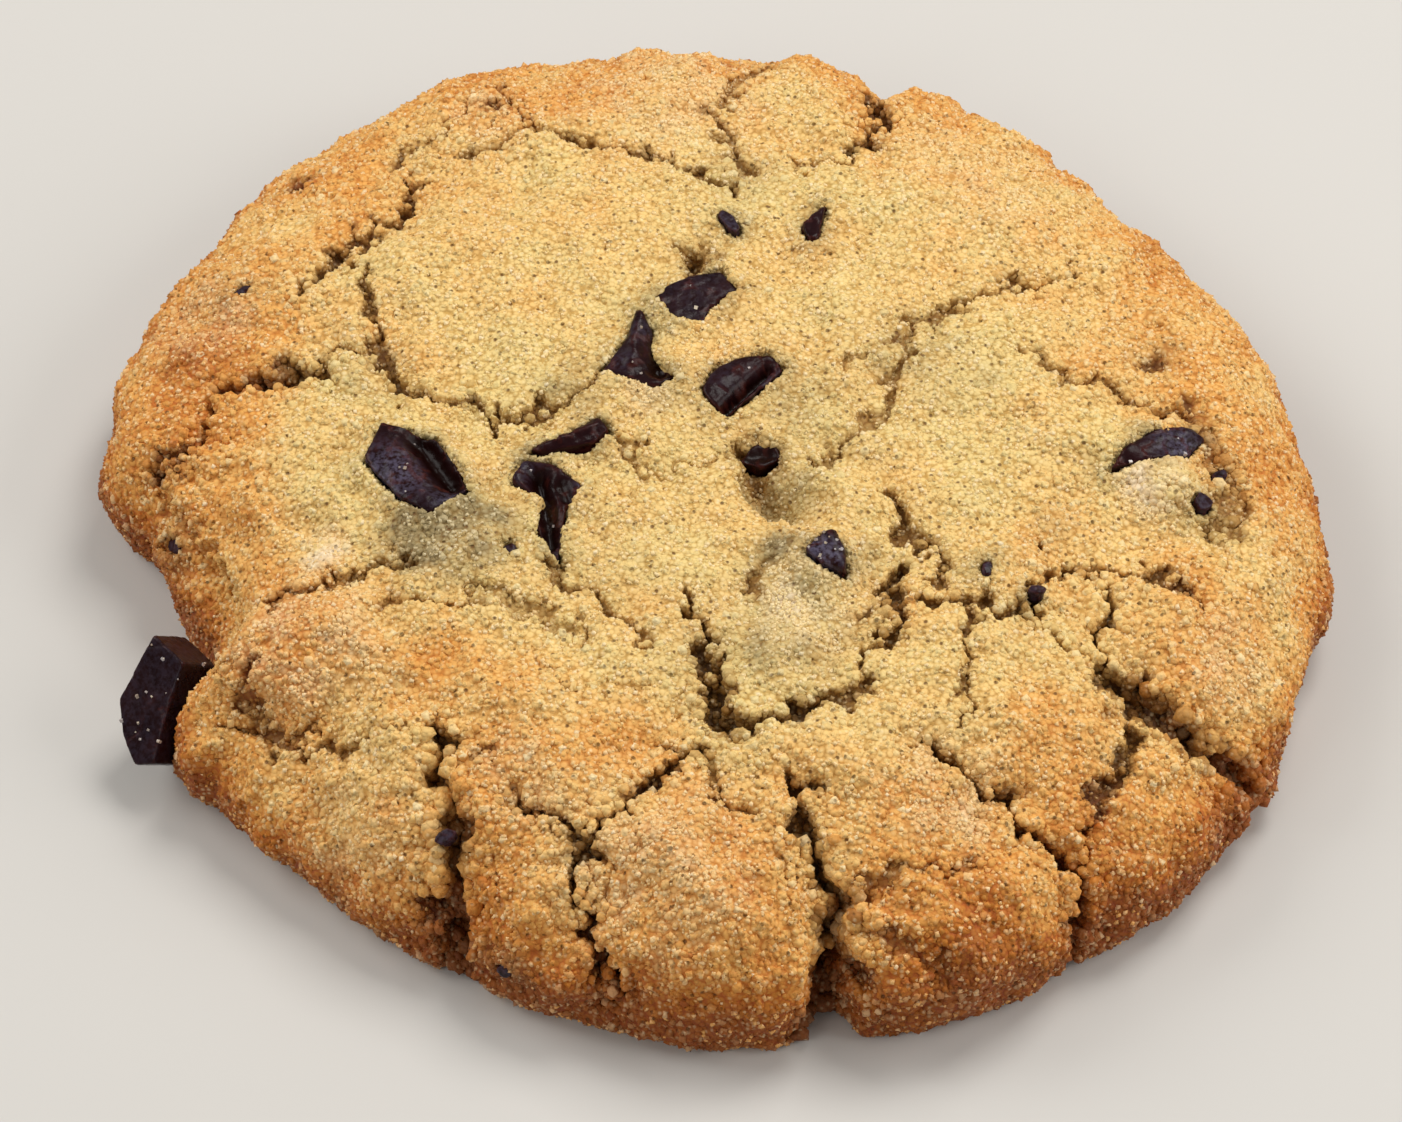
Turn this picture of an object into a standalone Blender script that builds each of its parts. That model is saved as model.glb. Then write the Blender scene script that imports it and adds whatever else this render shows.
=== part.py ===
"""A chocolate chip cookie with a cracked, domed crust and chocolate chunks set into it.

The crust is drawn on a flat map of the dough: places on it are (u, v) in millimetres,
measured over the surface from the crown. The map is then wrapped over the domed side
profile, down to a flat base on the floor plane. Millimetres are turned into metres
only where mesh points are written.
"""
import math

import bmesh
import bpy
import numpy as np
from mathutils import Matrix, Vector, noise

MM = 0.001

# Driving dimensions of the dough, in millimetres.
MEAN_RADIUS = 42.7
CROWN_HEIGHT = 14.4
WAIST_HEIGHT = 2.6
FOOT_INSET = 1.3
DOME_POWER = 2.8

# The outline is an oval with a few bumps and dents in its rim.
OVAL_RADIUS = 2.1
OVAL_HEADING = 124.0
RIM_BUMPS = (  # heading in degrees, spread in degrees, reach outwards in millimetres
    (4, 18, 0.9),
    (60, 18, -0.7),
    (66, 3.5, 1.0),
    (71, 2.5, -1.2),
    (86, 4, -0.7),
    (112, 24, -1.6),
    (149, 9, -0.7),
    (171, 9, 1.1),
    (194, 12, -3.1),
    (211, 3.5, 1.4),
    (280.5, 2.2, -2.2),
    (300, 14, -0.5),
)

# Mesh fineness: rings of the dough map, and the faces kept after thinning out.
MAP_RINGS = 66
DOUGH_FACES = 9800

# Puffed plates of crust: place u, v, radius and lift.
PLATES = (
    (-10, 14, 11, 0.5),
    (-29, -19, 5, 0.9),
    (-11, -26, 6, 0.7),
    (-3, -36, 6, 1.1),
    (19, -22, 6, 0.8),
    (15, -39, 7, 0.8),
    (36, -15, 7, 0.7),
    (36, 8, 7, 0.6),
    (24, 26, 9, 0.5),
    (8, 34, 6, 0.6),
    (-18, 34, 8, 0.5),
    (-37, 12, 8, 0.6),
    (-41, -14, 4.5, -0.8),
    (7, 1, 7, -0.4),
    (-8, -12, 6, -0.3),
    (-4, -39, 2.5, -0.5),
    (3.5, -4.6, 2.6, -1.0),
    (6.5, -11.5, 3.0, 0.5),
)

# Cracks: width and depth at the start, width and depth at the end, then the route.
CRACKS = {
    "upper left": (0.9, 0.9, 1.1, 1.1, (-21, 25), (-22, 19), (-25, 17), (-28.5, 13)),
    "upper plate side": (0.8, 0.8, 1.0, 1.0, (-24.3, 15), (-23.5, 8), (-21.7, 3.2)),
    "upper plate foot": (1.0, 1.0, 0.8, 0.8, (-21.7, 3.2), (-16.7, 2), (-14.5, -0.2), (-7.5, 3.4)),
    "left rim": (1.2, 1.5, 1.0, 1.4, (-28, 5.8), (-34.4, 5), (-36.3, 1), (-41, -1.2)),
    "left step": (1.1, 1.3, 1.3, 1.7, (-43, -3), (-39.6, -10.5), (-36.6, -16.5), (-32.5, -20.4)),
    "left step foot": (1.2, 1.5, 0.9, 0.9, (-32.5, -20.4), (-33.5, -24.5), (-29, -25.8)),
    "top plate": (0.9, 0.9, 1.2, 1.3, (-17.8, 26), (-12, 27.6), (-2.6, 24.6), (1.7, 22)),
    "top groove": (1.2, 1.2, 1.0, 1.1, (4, 38), (-0.3, 30.4), (2, 24)),
    "top notch": (1.0, 1.0, 1.3, 1.9, (6.4, 25.6), (10.7, 27.6), (12.5, 30), (13.6, 39)),
    "right plate": (1.1, 1.1, 0.9, 0.9, (28, 15.7), (22.3, 13.8), (14, 8.8), (12.8, 1.5), (7.5, -3.3)),
    "right groove": (0.8, 0.8, 0.9, 0.9, (22.4, 7.5), (25.5, 4), (31.5, 2.9), (34.4, 0.7)),
    "middle right": (0.8, 0.8, 0.8, 0.8, (11, -5.8), (12.6, -9.6), (11.2, -14)),
    "middle right foot": (1.0, 1.2, 0.8, 0.9, (11.2, -14), (11, -18), (8.6, -22.4)),
    "right seam": (1.0, 1.0, 0.9, 0.9, (14, -14.9), (20.2, -15.4), (23, -12), (30.6, -12), (32, -13.6)),
    "right fissure": (1.0, 1.2, 1.4, 2.2, (25.8, -13.2), (25.7, -20), (33, -24.4), (40, -26.6)),
    "left seam": (0.9, 0.9, 0.8, 0.8, (-36.3, -16.2), (-30.6, -15), (-22, -13)),
    "middle seam": (1.0, 0.9, 0.8, 0.8, (-23, -16.6), (-15, -16), (-9.3, -19)),
    "middle crack": (0.8, 0.9, 1.3, 1.8, (-1.4, -16), (-0.6, -20), (0.5, -25.6)),
    "middle branch": (1.3, 1.8, 0.8, 0.9, (0.5, -25.6), (5, -24.7), (9.5, -22.4)),
    "left pocket": (1.0, 1.1, 1.0, 1.0, (-34.6, -23.7), (-30, -26.4), (-25.8, -27.5)),
    "near left fissure": (1.1, 1.3, 2.0, 2.9, (-19.2, -27.6), (-18, -35), (-19.5, -41), (-22, -50)),
    "near left split": (0.9, 1.3, 1.1, 1.7, (-8.2, -34.4), (-9.2, -36.4), (-7.1, -46)),
    "near plate top": (1.0, 1.1, 1.0, 1.4, (-14, -32), (-8.2, -34.2), (-3.5, -29.5), (-0.9, -27.6)),
    "near fissure": (0.9, 1.2, 2.3, 4.2, (5.2, -28.7), (5.8, -34.5), (8.4, -38.5), (8.2, -54)),
    "near right": (0.9, 1.1, 1.4, 2.2, (13.7, -26.5), (18.6, -30), (24.3, -35), (28, -44)),
    "near right branch": (1.0, 1.0, 0.9, 0.9, (27.6, -24), (24.6, -30.5), (23.4, -34)),
    "near right plate": (0.9, 1.0, 0.8, 0.8, (8.2, -37.6), (10.6, -35.2), (16.3, -34.4)),
}

# Small holes in the crust: place u, v, radius and depth.
PITS = (
    (-1, 14, 1.0, 1.3),
    (1.0, -25.8, 1.1, 1.2),
    (-30, 6.6, 1.0, 1.1),
    (-29.7, 26.4, 1.0, 1.0),
    (25.7, -20.6, 1.0, 1.0),
    (18.3, -29.8, 0.9, 0.9),
    (7.8, -39.6, 1.1, 1.0),
    (2.8, -13.7, 0.8, 0.7),
)

# Uneven dough: size of the lumps and how far they reach, and how far cracks wander.
LUMP_SIZES = ((9.0, 0.55), (3.6, 0.32), (1.7, 0.14))
CRACK_WANDER = 0.5
WANDER_SIZE = 2.6
RELIEF_FADE = 3.0

# Chocolate: how deep a chunk goes, the gap round it and the wear of its top edge.
CHUNK_DEPTH = 3.2
CHUNK_TAPER = 0.78
CHUNK_GAP = 0.3
CHUNK_BEVEL = 0.35
POCKET_RISE = 3.0

# Chunks seen from above on the map: rise over the crust, then their corners.
CHUNKS = {
    "chunk_top": (0.25, (-3.9, 9.9), (-3.2, 11.3), (-1.2, 12.5), (0.7, 13.2), (1.8, 11),
                  (0.2, 10.6), (-0.9, 8.3), (-2.4, 8.4)),
    "chunk_wedge": (0.3, (-5, 8.8), (-4, 7.2), (-3.9, 5), (-2.4, 3.2), (-3.8, 2.2), (-7.6, 3.7),
                    (-5.7, 6.4)),
    "chunk_ridged": (0.5, (-0.8, 2), (0, 3.8), (1.7, 5.1), (4.3, 5.7), (5.3, 4.3), (3, 1.9),
                     (1.2, 0.2), (0, 0.7)),
    "chunk_big": (0.9, (-23.4, -0.6), (-21.4, -1.2), (-19.6, -2), (-18.2, -4.8), (-17.4, -7.2),
                  (-20.2, -9.4), (-22.4, -7.6), (-24.8, -4)),
    "chunk_split": (0.3, (-13.7, -4.2), (-11.5, -4.6), (-9.3, -6.6), (-10.5, -8.6), (-10.7, -11),
                    (-11, -13.4), (-12.6, -10.4), (-12.4, -7.6), (-14.4, -6.2)),
    "chunk_shard": (0.5, (-13.2, -3.4), (-10, -1.9), (-8.1, -0.5), (-7.3, -1.6), (-8.4, -2.9),
                    (-12.2, -3.8)),
    "chunk_sunken": (0.2, (1.7, -3.7), (2.8, -2.1), (4.4, -2.3), (4.6, -3.4), (3.2, -4.2)),
    "chunk_dusty": (0.6, (7.8, -10.2), (8.6, -12), (8.5, -13.6), (6.9, -12.9), (5.9, -11.9),
                    (6.7, -10.8)),
    "chunk_right": (0.7, (27.4, -4.2), (28.4, -2.6), (31, -0.3), (33.4, 0.4), (34.6, -0.5),
                    (32.8, -2.4), (30.2, -3.2)),
    "chunk_far": (0.3, (6.4, 18.4), (7, 16.8), (7.8, 17.2), (8.4, 21), (7.6, 20)),
}

# Small bits of the same chocolate: place u, v, length, width and heading in degrees.
BITS = (
    (1.2, 18, 2.6, 1.1, 115),
    (35.2, -3.2, 1.7, 1.1, 55),
    (33.6, -6.0, 1.8, 1.2, 60),
    (-33.0, 13.7, 1.5, 1.0, 15),
    (-43.6, -6.2, 2.2, 1.4, -35),
    (-14.5, -12.3, 1.3, 1.0, 30),
    (-18.4, -34.2, 1.6, 1.2, 20),
    (-15, -43.5, 1.4, 1.1, 40),
    (17.9, -12.8, 1.2, 0.9, 60),
    (21.2, -14.3, 1.3, 0.9, 10),
)
BIT_SIDES = 6
BIT_RISE = 0.15
BIT_DEPTH = 1.2

# The block that sticks out of the left side, seen face on.
BLOCK_CORNERS = ((0.1, 4.9), (-2.3, 0.3), (-1.8, -2.2), (-0.6, -4.1), (1.0, -3.9), (2.0, 0.6),
                 (2.8, 3.1))
BLOCK_CENTRE = (-37.7, -17.8, 4.5)
BLOCK_ALONG = (0.08, 0.78, 0.62)
BLOCK_FACING = (-0.49, -0.52, 0.70)
BLOCK_THICKNESS = 3.9

DOUGH_COLOUR = (0.60, 0.36, 0.13, 1.0)
DOUGH_ROUGHNESS = 0.85
CHOCOLATE_COLOUR = (0.022, 0.009, 0.008, 1.0)
CHOCOLATE_ROUGHNESS = 0.38


def clear_scene():
    """Start from an empty scene."""
    for old in list(bpy.data.objects):
        bpy.data.objects.remove(old, do_unlink=True)


def make_material(name, colour, roughness):
    """A Principled material with one colour."""
    material = bpy.data.materials.new(name)
    material.use_nodes = True
    shader = material.node_tree.nodes["Principled BSDF"]
    shader.inputs["Base Color"].default_value = colour
    shader.inputs["Roughness"].default_value = roughness
    shader.inputs["Metallic"].default_value = 0.0
    return material


def side_profile(steps=240):
    """Length over the surface, radius, height and outward direction from crown to foot."""
    turn = np.linspace(0, math.pi / 2, steps)
    rise = CROWN_HEIGHT - WAIST_HEIGHT
    dome_radius = MEAN_RADIUS * np.sin(turn) ** (2 / DOME_POWER)
    dome_height = WAIST_HEIGHT + rise * np.cos(turn) ** (2 / DOME_POWER)
    tuck = np.linspace(0, math.pi / 2, steps // 6)[1:]
    foot_radius = MEAN_RADIUS - FOOT_INSET * (1 - np.cos(tuck))
    foot_height = WAIST_HEIGHT * (1 - np.sin(tuck))
    radius = np.concatenate([dome_radius, foot_radius])
    height = np.concatenate([dome_height, foot_height])
    step_out = np.diff(radius)
    step_up = np.diff(height)
    length = np.concatenate([[0.0], np.cumsum(np.hypot(step_out, step_up))])
    slope_out = np.gradient(radius, length)
    slope_up = np.gradient(height, length)
    size = np.hypot(slope_out, slope_up)
    return length, radius, height, -slope_up / size, slope_out / size


LENGTH, RADIUS, HEIGHT, OUTWARD, UPWARD = side_profile()
SPAN = LENGTH[-1]


def rim_reach(heading):
    """How far the rim stands outside the mean circle, for headings in radians."""
    reach = OVAL_RADIUS * np.cos(2 * (heading - math.radians(OVAL_HEADING)))
    bumps = np.zeros_like(heading)
    for centre, spread, size in RIM_BUMPS:
        away = (np.degrees(heading) - centre + 180) % 360 - 180
        bumps += size * np.exp(-((away / spread) ** 6))
    return reach, bumps


def wrap(u, v, lift):
    """Points in millimetres for places on the map, raised by lift from the smooth dome."""
    distance = np.hypot(u, v)
    heading = np.arctan2(v, u)
    oval, bumps = rim_reach(heading)
    radius = np.interp(distance, LENGTH, RADIUS)
    height = np.interp(distance, LENGTH, HEIGHT)
    outward = np.interp(distance, LENGTH, OUTWARD)
    upward = np.interp(distance, LENGTH, UPWARD)
    fade = np.clip((distance - 0.55 * SPAN) / (0.3 * SPAN), 0, 1)
    fade = fade * fade * (3 - 2 * fade)
    radius = radius * (1 + oval / MEAN_RADIUS) + bumps * fade + outward * lift
    height = height + upward * lift
    return np.stack([radius * np.cos(heading), radius * np.sin(heading), height], axis=-1)


def bump(u, v, centre_u, centre_v, radius):
    """A smooth rise that is 1 in its middle and dies out past its radius."""
    away = ((u - centre_u) ** 2 + (v - centre_v) ** 2) / radius**2
    return np.exp(-(away**1.5))


def lumps(u, v, size, seed):
    """Uneven dough with lumps of one size, between -1 and 1."""
    values = [noise.noise((a / size, b / size, seed)) for a, b in zip(u, v)]
    return 2.0 * np.array(values)


def crack_depth(u, v, crack):
    """Depth of one crack at each place, which follows its route and changes along it."""
    width_start, depth_start, width_end, depth_end, *route = crack
    route = np.array(route, dtype=float)
    legs = np.hypot(*np.diff(route, axis=0).T)
    before = np.concatenate([[0.0], np.cumsum(legs)])
    deepest = np.zeros_like(u)
    for index, leg in enumerate(legs):
        start = route[index]
        direction = (route[index + 1] - start) / leg
        along = (u - start[0]) * direction[0] + (v - start[1]) * direction[1]
        along = np.clip(along, 0, leg)
        away = np.hypot(u - start[0] - along * direction[0], v - start[1] - along * direction[1])
        share = (before[index] + along) / before[-1]
        width = width_start + (width_end - width_start) * share
        depth = depth_start + (depth_end - depth_start) * share
        deepest = np.maximum(deepest, depth * np.exp(-((away / width) ** 2)))
    return deepest


def plate_lift(u, v):
    """The puffed plates and the sunken places of the crust."""
    lift = np.zeros_like(u)
    for centre_u, centre_v, radius, size in PLATES:
        lift += size * bump(u, v, centre_u, centre_v, radius)
    return lift


def crust_lift(u, v):
    """Height of the crust over the smooth dome, which dies out at the foot."""
    lift = plate_lift(u, v)
    for seed, (size, reach) in enumerate(LUMP_SIZES):
        lift += reach * lumps(u, v, size, 10.5 * (seed + 1))
    wander_u = u + CRACK_WANDER * lumps(u, v, WANDER_SIZE, 71.3)
    wander_v = v + CRACK_WANDER * lumps(u, v, WANDER_SIZE, 93.7)
    cut = np.zeros_like(u)
    for crack in CRACKS.values():
        cut = np.maximum(cut, crack_depth(wander_u, wander_v, crack))
    for centre_u, centre_v, radius, depth in PITS:
        cut = np.maximum(cut, depth * bump(u, v, centre_u, centre_v, radius))
    fade = np.clip((SPAN - np.hypot(u, v)) / RELIEF_FADE, 0, 1)
    return (lift - cut) * fade


def hexagon_to_map(points):
    """Spread the points of a hexagon with corners at 1 evenly over the round map."""
    heading = np.arctan2(points[:, 1], points[:, 0]) % (2 * math.pi)
    sector = np.floor(heading / (math.pi / 3) + 1e-6)
    local = heading - sector * math.pi / 3
    reach = np.hypot(points[:, 0], points[:, 1])
    corner_share = reach * np.sin(math.pi / 3 - local)
    next_share = reach * np.sin(local)
    ring = (corner_share + next_share) / math.sin(math.pi / 3)
    turn = next_share / np.maximum(corner_share + next_share, 1e-9)
    heading = (sector + turn) * math.pi / 3
    return ring * SPAN * np.cos(heading), ring * SPAN * np.sin(heading)


def link(name, mesh, material):
    """Put a mesh in the scene as a smooth object with its material."""
    mesh.materials.append(material)
    mesh.shade_smooth()
    piece = bpy.data.objects.new(name, mesh)
    bpy.context.scene.collection.objects.link(piece)
    return piece


def evaluated_mesh(piece):
    """The mesh of an object with its modifiers applied."""
    depsgraph = bpy.context.evaluated_depsgraph_get()
    depsgraph.update()
    return bpy.data.meshes.new_from_object(piece.evaluated_get(depsgraph))


def make_dough_shell(material):
    """The crust from crown to foot, open underneath and thinned out where it is smooth."""
    shape = bmesh.new()
    corner_ahead = Matrix.Rotation(math.radians(30), 4, "Z")
    bmesh.ops.create_circle(shape, cap_ends=True, cap_tris=True, segments=6, radius=1.0,
                            matrix=corner_ahead)
    bmesh.ops.subdivide_edges(shape, edges=shape.edges[:], cuts=MAP_RINGS - 1, use_grid_fill=True)
    points = np.array([vert.co[:2] for vert in shape.verts])
    u, v = hexagon_to_map(points)
    for vert, place in zip(shape.verts, wrap(u, v, crust_lift(u, v))):
        vert.co = Vector(place) * MM
    bmesh.ops.recalc_face_normals(shape, faces=shape.faces[:])
    mesh = bpy.data.meshes.new("dough")
    shape.to_mesh(mesh)
    shape.free()
    shell = link("dough", mesh, material)
    thinner = shell.modifiers.new("Fewer faces", "DECIMATE")
    thinner.ratio = DOUGH_FACES / len(mesh.polygons)
    shell.data = evaluated_mesh(shell)
    shell.modifiers.clear()
    return shell


def close_base(shell):
    """Flatten the foot onto the floor plane and close it with one flat face."""
    shape = bmesh.new()
    shape.from_mesh(shell.data)
    rim = [edge for edge in shape.edges if edge.is_boundary]
    for edge in rim:
        for vert in edge.verts:
            vert.co.z = 0.0
    bmesh.ops.contextual_create(shape, geom=rim)
    bmesh.ops.recalc_face_normals(shape, faces=shape.faces[:])
    shape.to_mesh(shell.data)
    shape.free()


def grown(corners, margin):
    """Move the corners of an outline outwards so that each side moves by the margin."""
    points = np.array(corners, dtype=float)
    ahead = np.roll(points, -1, axis=0) - points
    area = np.sum(points[:, 0] * np.roll(points[:, 1], -1) - points[:, 1] * np.roll(points[:, 0], -1))
    side = np.stack([ahead[:, 1], -ahead[:, 0]], axis=-1) * math.copysign(1, area)
    side /= np.linalg.norm(side, axis=1)[:, None]
    both = side + np.roll(side, 1, axis=0)
    both /= np.maximum(np.sum(both * side, axis=1), 0.6)[:, None]
    return points + margin * both


def prism(corners, bottom, top, taper, bevel):
    """A block over an outline, tapered towards its bottom and worn along its top edge."""
    shape = bmesh.new()
    middle = Vector((*np.mean(corners, axis=0), 0.0))
    loop = [shape.verts.new((x, y, top)) for x, y in corners]
    face = shape.faces.new(loop)
    lower = bmesh.ops.extrude_face_region(shape, geom=[face])["geom"]
    for vert in lower:
        if isinstance(vert, bmesh.types.BMVert):
            vert.co = middle + (vert.co - middle) * taper
            vert.co.z = bottom
    bmesh.ops.recalc_face_normals(shape, faces=shape.faces[:])
    if bevel:
        upper = [edge for edge in shape.edges if all(vert.co.z == top for vert in edge.verts)]
        bmesh.ops.bevel(shape, geom=upper, offset=bevel, segments=1, profile=0.5,
                        affect="EDGES", clamp_overlap=True, material=-1)
    bmesh.ops.triangulate(shape, faces=[face for face in shape.faces if len(face.verts) > 4])
    return shape


def set_in_crust(shape):
    """Wrap a block drawn over the map onto the crust."""
    places = np.array([vert.co[:] for vert in shape.verts])
    lift = plate_lift(places[:, 0], places[:, 1]) + places[:, 2]
    for vert, place in zip(shape.verts, wrap(places[:, 0], places[:, 1], lift)):
        vert.co = Vector(place) * MM


def set_as_block(shape):
    """Stand a block up against the left side of the dough."""
    along = Vector(BLOCK_ALONG).normalized()
    facing = Vector(BLOCK_FACING)
    facing = (facing - along * facing.dot(along)).normalized()
    across = along.cross(facing)
    for vert in shape.verts:
        place = across * vert.co.x + along * vert.co.y + facing * vert.co.z
        vert.co = (Vector(BLOCK_CENTRE) + place) * MM


def finish_shape(shape, name, material):
    """Turn a bmesh into a closed object with its faces outwards."""
    bmesh.ops.recalc_face_normals(shape, faces=shape.faces[:])
    mesh = bpy.data.meshes.new(name)
    shape.to_mesh(mesh)
    shape.free()
    piece = link(name, mesh, material)
    mesh.set_sharp_from_angle(angle=math.radians(35))
    return piece


def bit_corners(centre_u, centre_v, length, width, heading, seed):
    """The uneven outline of a small bit of chocolate."""
    corners = []
    for index in range(BIT_SIDES):
        turn = 2 * math.pi * index / BIT_SIDES
        uneven = 1 + 0.18 * math.sin(2.4 * seed + 1.9 * index)
        x = 0.5 * length * uneven * math.cos(turn)
        y = 0.5 * width * uneven * math.sin(turn)
        tilt = math.radians(heading)
        corners.append((centre_u + x * math.cos(tilt) - y * math.sin(tilt),
                        centre_v + x * math.sin(tilt) + y * math.cos(tilt)))
    return corners


def make_chocolate(material):
    """Every chocolate piece, each with the cutter of its pocket in the dough."""
    pieces = []
    cutters = []
    outlines = [(name, rise, CHUNK_DEPTH, CHUNK_BEVEL, corners)
                for name, (rise, *corners) in CHUNKS.items()]
    for index, bit in enumerate(BITS):
        outlines.append((f"bit_{index + 1:02d}", BIT_RISE, BIT_DEPTH, 0.0, bit_corners(*bit, index)))
    for name, rise, depth, bevel, corners in outlines:
        shape = prism(corners, -depth, rise, CHUNK_TAPER, bevel)
        set_in_crust(shape)
        pieces.append(finish_shape(shape, name, material))
        pocket = prism(grown(corners, CHUNK_GAP), -depth - CHUNK_GAP, POCKET_RISE, 1.0, 0.0)
        set_in_crust(pocket)
        cutters.append(finish_shape(pocket, f"pocket_{name}", material))
    half = BLOCK_THICKNESS / 2
    block = prism(BLOCK_CORNERS, -half, half, 1.0, CHUNK_BEVEL)
    set_as_block(block)
    pieces.append(finish_shape(block, "chunk_block", material))
    socket = prism(grown(BLOCK_CORNERS, CHUNK_GAP), -half - CHUNK_GAP, half + CHUNK_GAP, 1.0, 0.0)
    set_as_block(socket)
    cutters.append(finish_shape(socket, "pocket_chunk_block", material))
    return pieces, cutters


def cut_pockets(dough, cutters):
    """Cut a pocket in the dough for every chocolate piece, then drop loose scraps."""
    pockets = bpy.data.collections.new("pockets")
    bpy.context.scene.collection.children.link(pockets)
    for cutter in cutters:
        cutter.hide_render = True
        cutter.display_type = "WIRE"
        pockets.objects.link(cutter)
    cut = dough.modifiers.new("Pockets", "BOOLEAN")
    cut.operation = "DIFFERENCE"
    cut.operand_type = "COLLECTION"
    cut.collection = pockets
    dough.data = evaluated_mesh(dough)
    dough.modifiers.clear()
    for cutter in cutters:
        bpy.data.objects.remove(cutter, do_unlink=True)
    bpy.data.collections.remove(pockets)
    keep_largest_body(dough)


def keep_largest_body(piece):
    """Remove every loose scrap beside the main body."""
    shape = bmesh.new()
    shape.from_mesh(piece.data)
    left = set(shape.faces)
    bodies = []
    while left:
        body = {left.pop()}
        edge_of_body = list(body)
        while edge_of_body:
            face = edge_of_body.pop()
            for edge in face.edges:
                for neighbour in edge.link_faces:
                    if neighbour in left:
                        left.remove(neighbour)
                        body.add(neighbour)
                        edge_of_body.append(neighbour)
        bodies.append(body)
    bodies.sort(key=len)
    for body in bodies[:-1]:
        bmesh.ops.delete(shape, geom=list(body), context="FACES")
    shape.to_mesh(piece.data)
    shape.free()


def build():
    """Model the cookie."""
    clear_scene()
    dough_material = make_material("baked dough", DOUGH_COLOUR, DOUGH_ROUGHNESS)
    chocolate_material = make_material("dark chocolate", CHOCOLATE_COLOUR, CHOCOLATE_ROUGHNESS)
    dough = make_dough_shell(dough_material)
    close_base(dough)
    _, cutters = make_chocolate(chocolate_material)
    cut_pockets(dough, cutters)
    print("dough faces", len(dough.data.polygons))


build()
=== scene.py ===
# %% [markdown]
# # A cracked chocolate chip cookie
# The cookie is one lump of sugary dough that puffed up, browned at its rim and split as it
# baked, with broken chocolate set into it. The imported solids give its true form. This lesson
# dresses them with finer cracks and crumb, the chocolate, thousands of loose grains, and a
# finish for each.

# %% Load the frame
import math

import bmesh
import bpy
import numpy as np
from mathutils import Matrix, Vector, noise


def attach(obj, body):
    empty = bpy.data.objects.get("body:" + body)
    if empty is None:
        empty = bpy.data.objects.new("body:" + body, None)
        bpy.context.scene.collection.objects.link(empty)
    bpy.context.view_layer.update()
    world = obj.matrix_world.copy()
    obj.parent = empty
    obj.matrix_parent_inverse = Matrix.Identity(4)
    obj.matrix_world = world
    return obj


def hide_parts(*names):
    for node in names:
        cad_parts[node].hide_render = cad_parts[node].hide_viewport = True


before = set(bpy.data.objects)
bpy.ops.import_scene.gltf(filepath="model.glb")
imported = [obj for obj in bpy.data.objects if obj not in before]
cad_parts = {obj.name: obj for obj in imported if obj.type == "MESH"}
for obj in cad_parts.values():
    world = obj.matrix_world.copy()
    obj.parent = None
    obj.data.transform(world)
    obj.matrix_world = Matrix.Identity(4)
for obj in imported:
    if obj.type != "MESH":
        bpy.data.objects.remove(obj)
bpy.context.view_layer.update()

MM = 0.001
print("nodes in the frame:", len(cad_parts))

# %% [markdown]
# ## The dome of the dough
# A ball of dough spreads into a low dome with a tucked foot. A superellipse gives that side
# view from a few sizes. Places on the crust are then (u, v) in millimetres, measured over the
# surface from the crown like a map, so that a crack can run down the side without a break.

# %% Side view of the dough
MEAN_RADIUS = 42.7
CROWN_HEIGHT = 14.4
WAIST_HEIGHT = 2.6
FOOT_INSET = 1.3
DOME_POWER = 2.8


def side_profile(steps=240):
    """Length over the surface, radius, height and outward direction from crown to foot."""
    turn = np.linspace(0, math.pi / 2, steps)
    rise = CROWN_HEIGHT - WAIST_HEIGHT
    dome_radius = MEAN_RADIUS * np.sin(turn) ** (2 / DOME_POWER)
    dome_height = WAIST_HEIGHT + rise * np.cos(turn) ** (2 / DOME_POWER)
    tuck = np.linspace(0, math.pi / 2, steps // 6)[1:]
    foot_radius = MEAN_RADIUS - FOOT_INSET * (1 - np.cos(tuck))
    foot_height = WAIST_HEIGHT * (1 - np.sin(tuck))
    radius = np.concatenate([dome_radius, foot_radius])
    height = np.concatenate([dome_height, foot_height])
    length = np.concatenate([[0.0], np.cumsum(np.hypot(np.diff(radius), np.diff(height)))])
    slope_out = np.gradient(radius, length)
    slope_up = np.gradient(height, length)
    size = np.hypot(slope_out, slope_up)
    return length, radius, height, -slope_up / size, slope_out / size


LENGTH, RADIUS, HEIGHT, OUTWARD, UPWARD = side_profile()
SPAN = LENGTH[-1]
print(f"crown to foot over the surface: {SPAN:.1f} mm")

# %% [markdown]
# ## The outline seen from above
# No hand-dropped cookie is a true circle. A slight oval does most of the work, and a short
# list of bumps and dents does the rest. The hollow in the left side, where a chocolate block
# sticks out, is the largest.

# %% Outline and wrapping
OVAL_RADIUS = 2.1
OVAL_HEADING = 124.0
RIM_BUMPS = (  # heading in degrees, spread in degrees, reach outwards in millimetres
    (4, 18, 0.9), (60, 18, -0.7), (66, 3.5, 1.0), (71, 2.5, -1.2), (86, 4, -0.7),
    (112, 24, -1.6), (149, 9, -0.7), (171, 9, 1.1), (194, 12, -3.1), (211, 3.5, 1.4),
    (280.5, 2.2, -2.2), (300, 14, -0.5),
)


def smooth_step(value):
    """0 below 0, 1 above 1 and an even slope between."""
    value = np.clip(value, 0, 1)
    return value * value * (3 - 2 * value)


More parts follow.
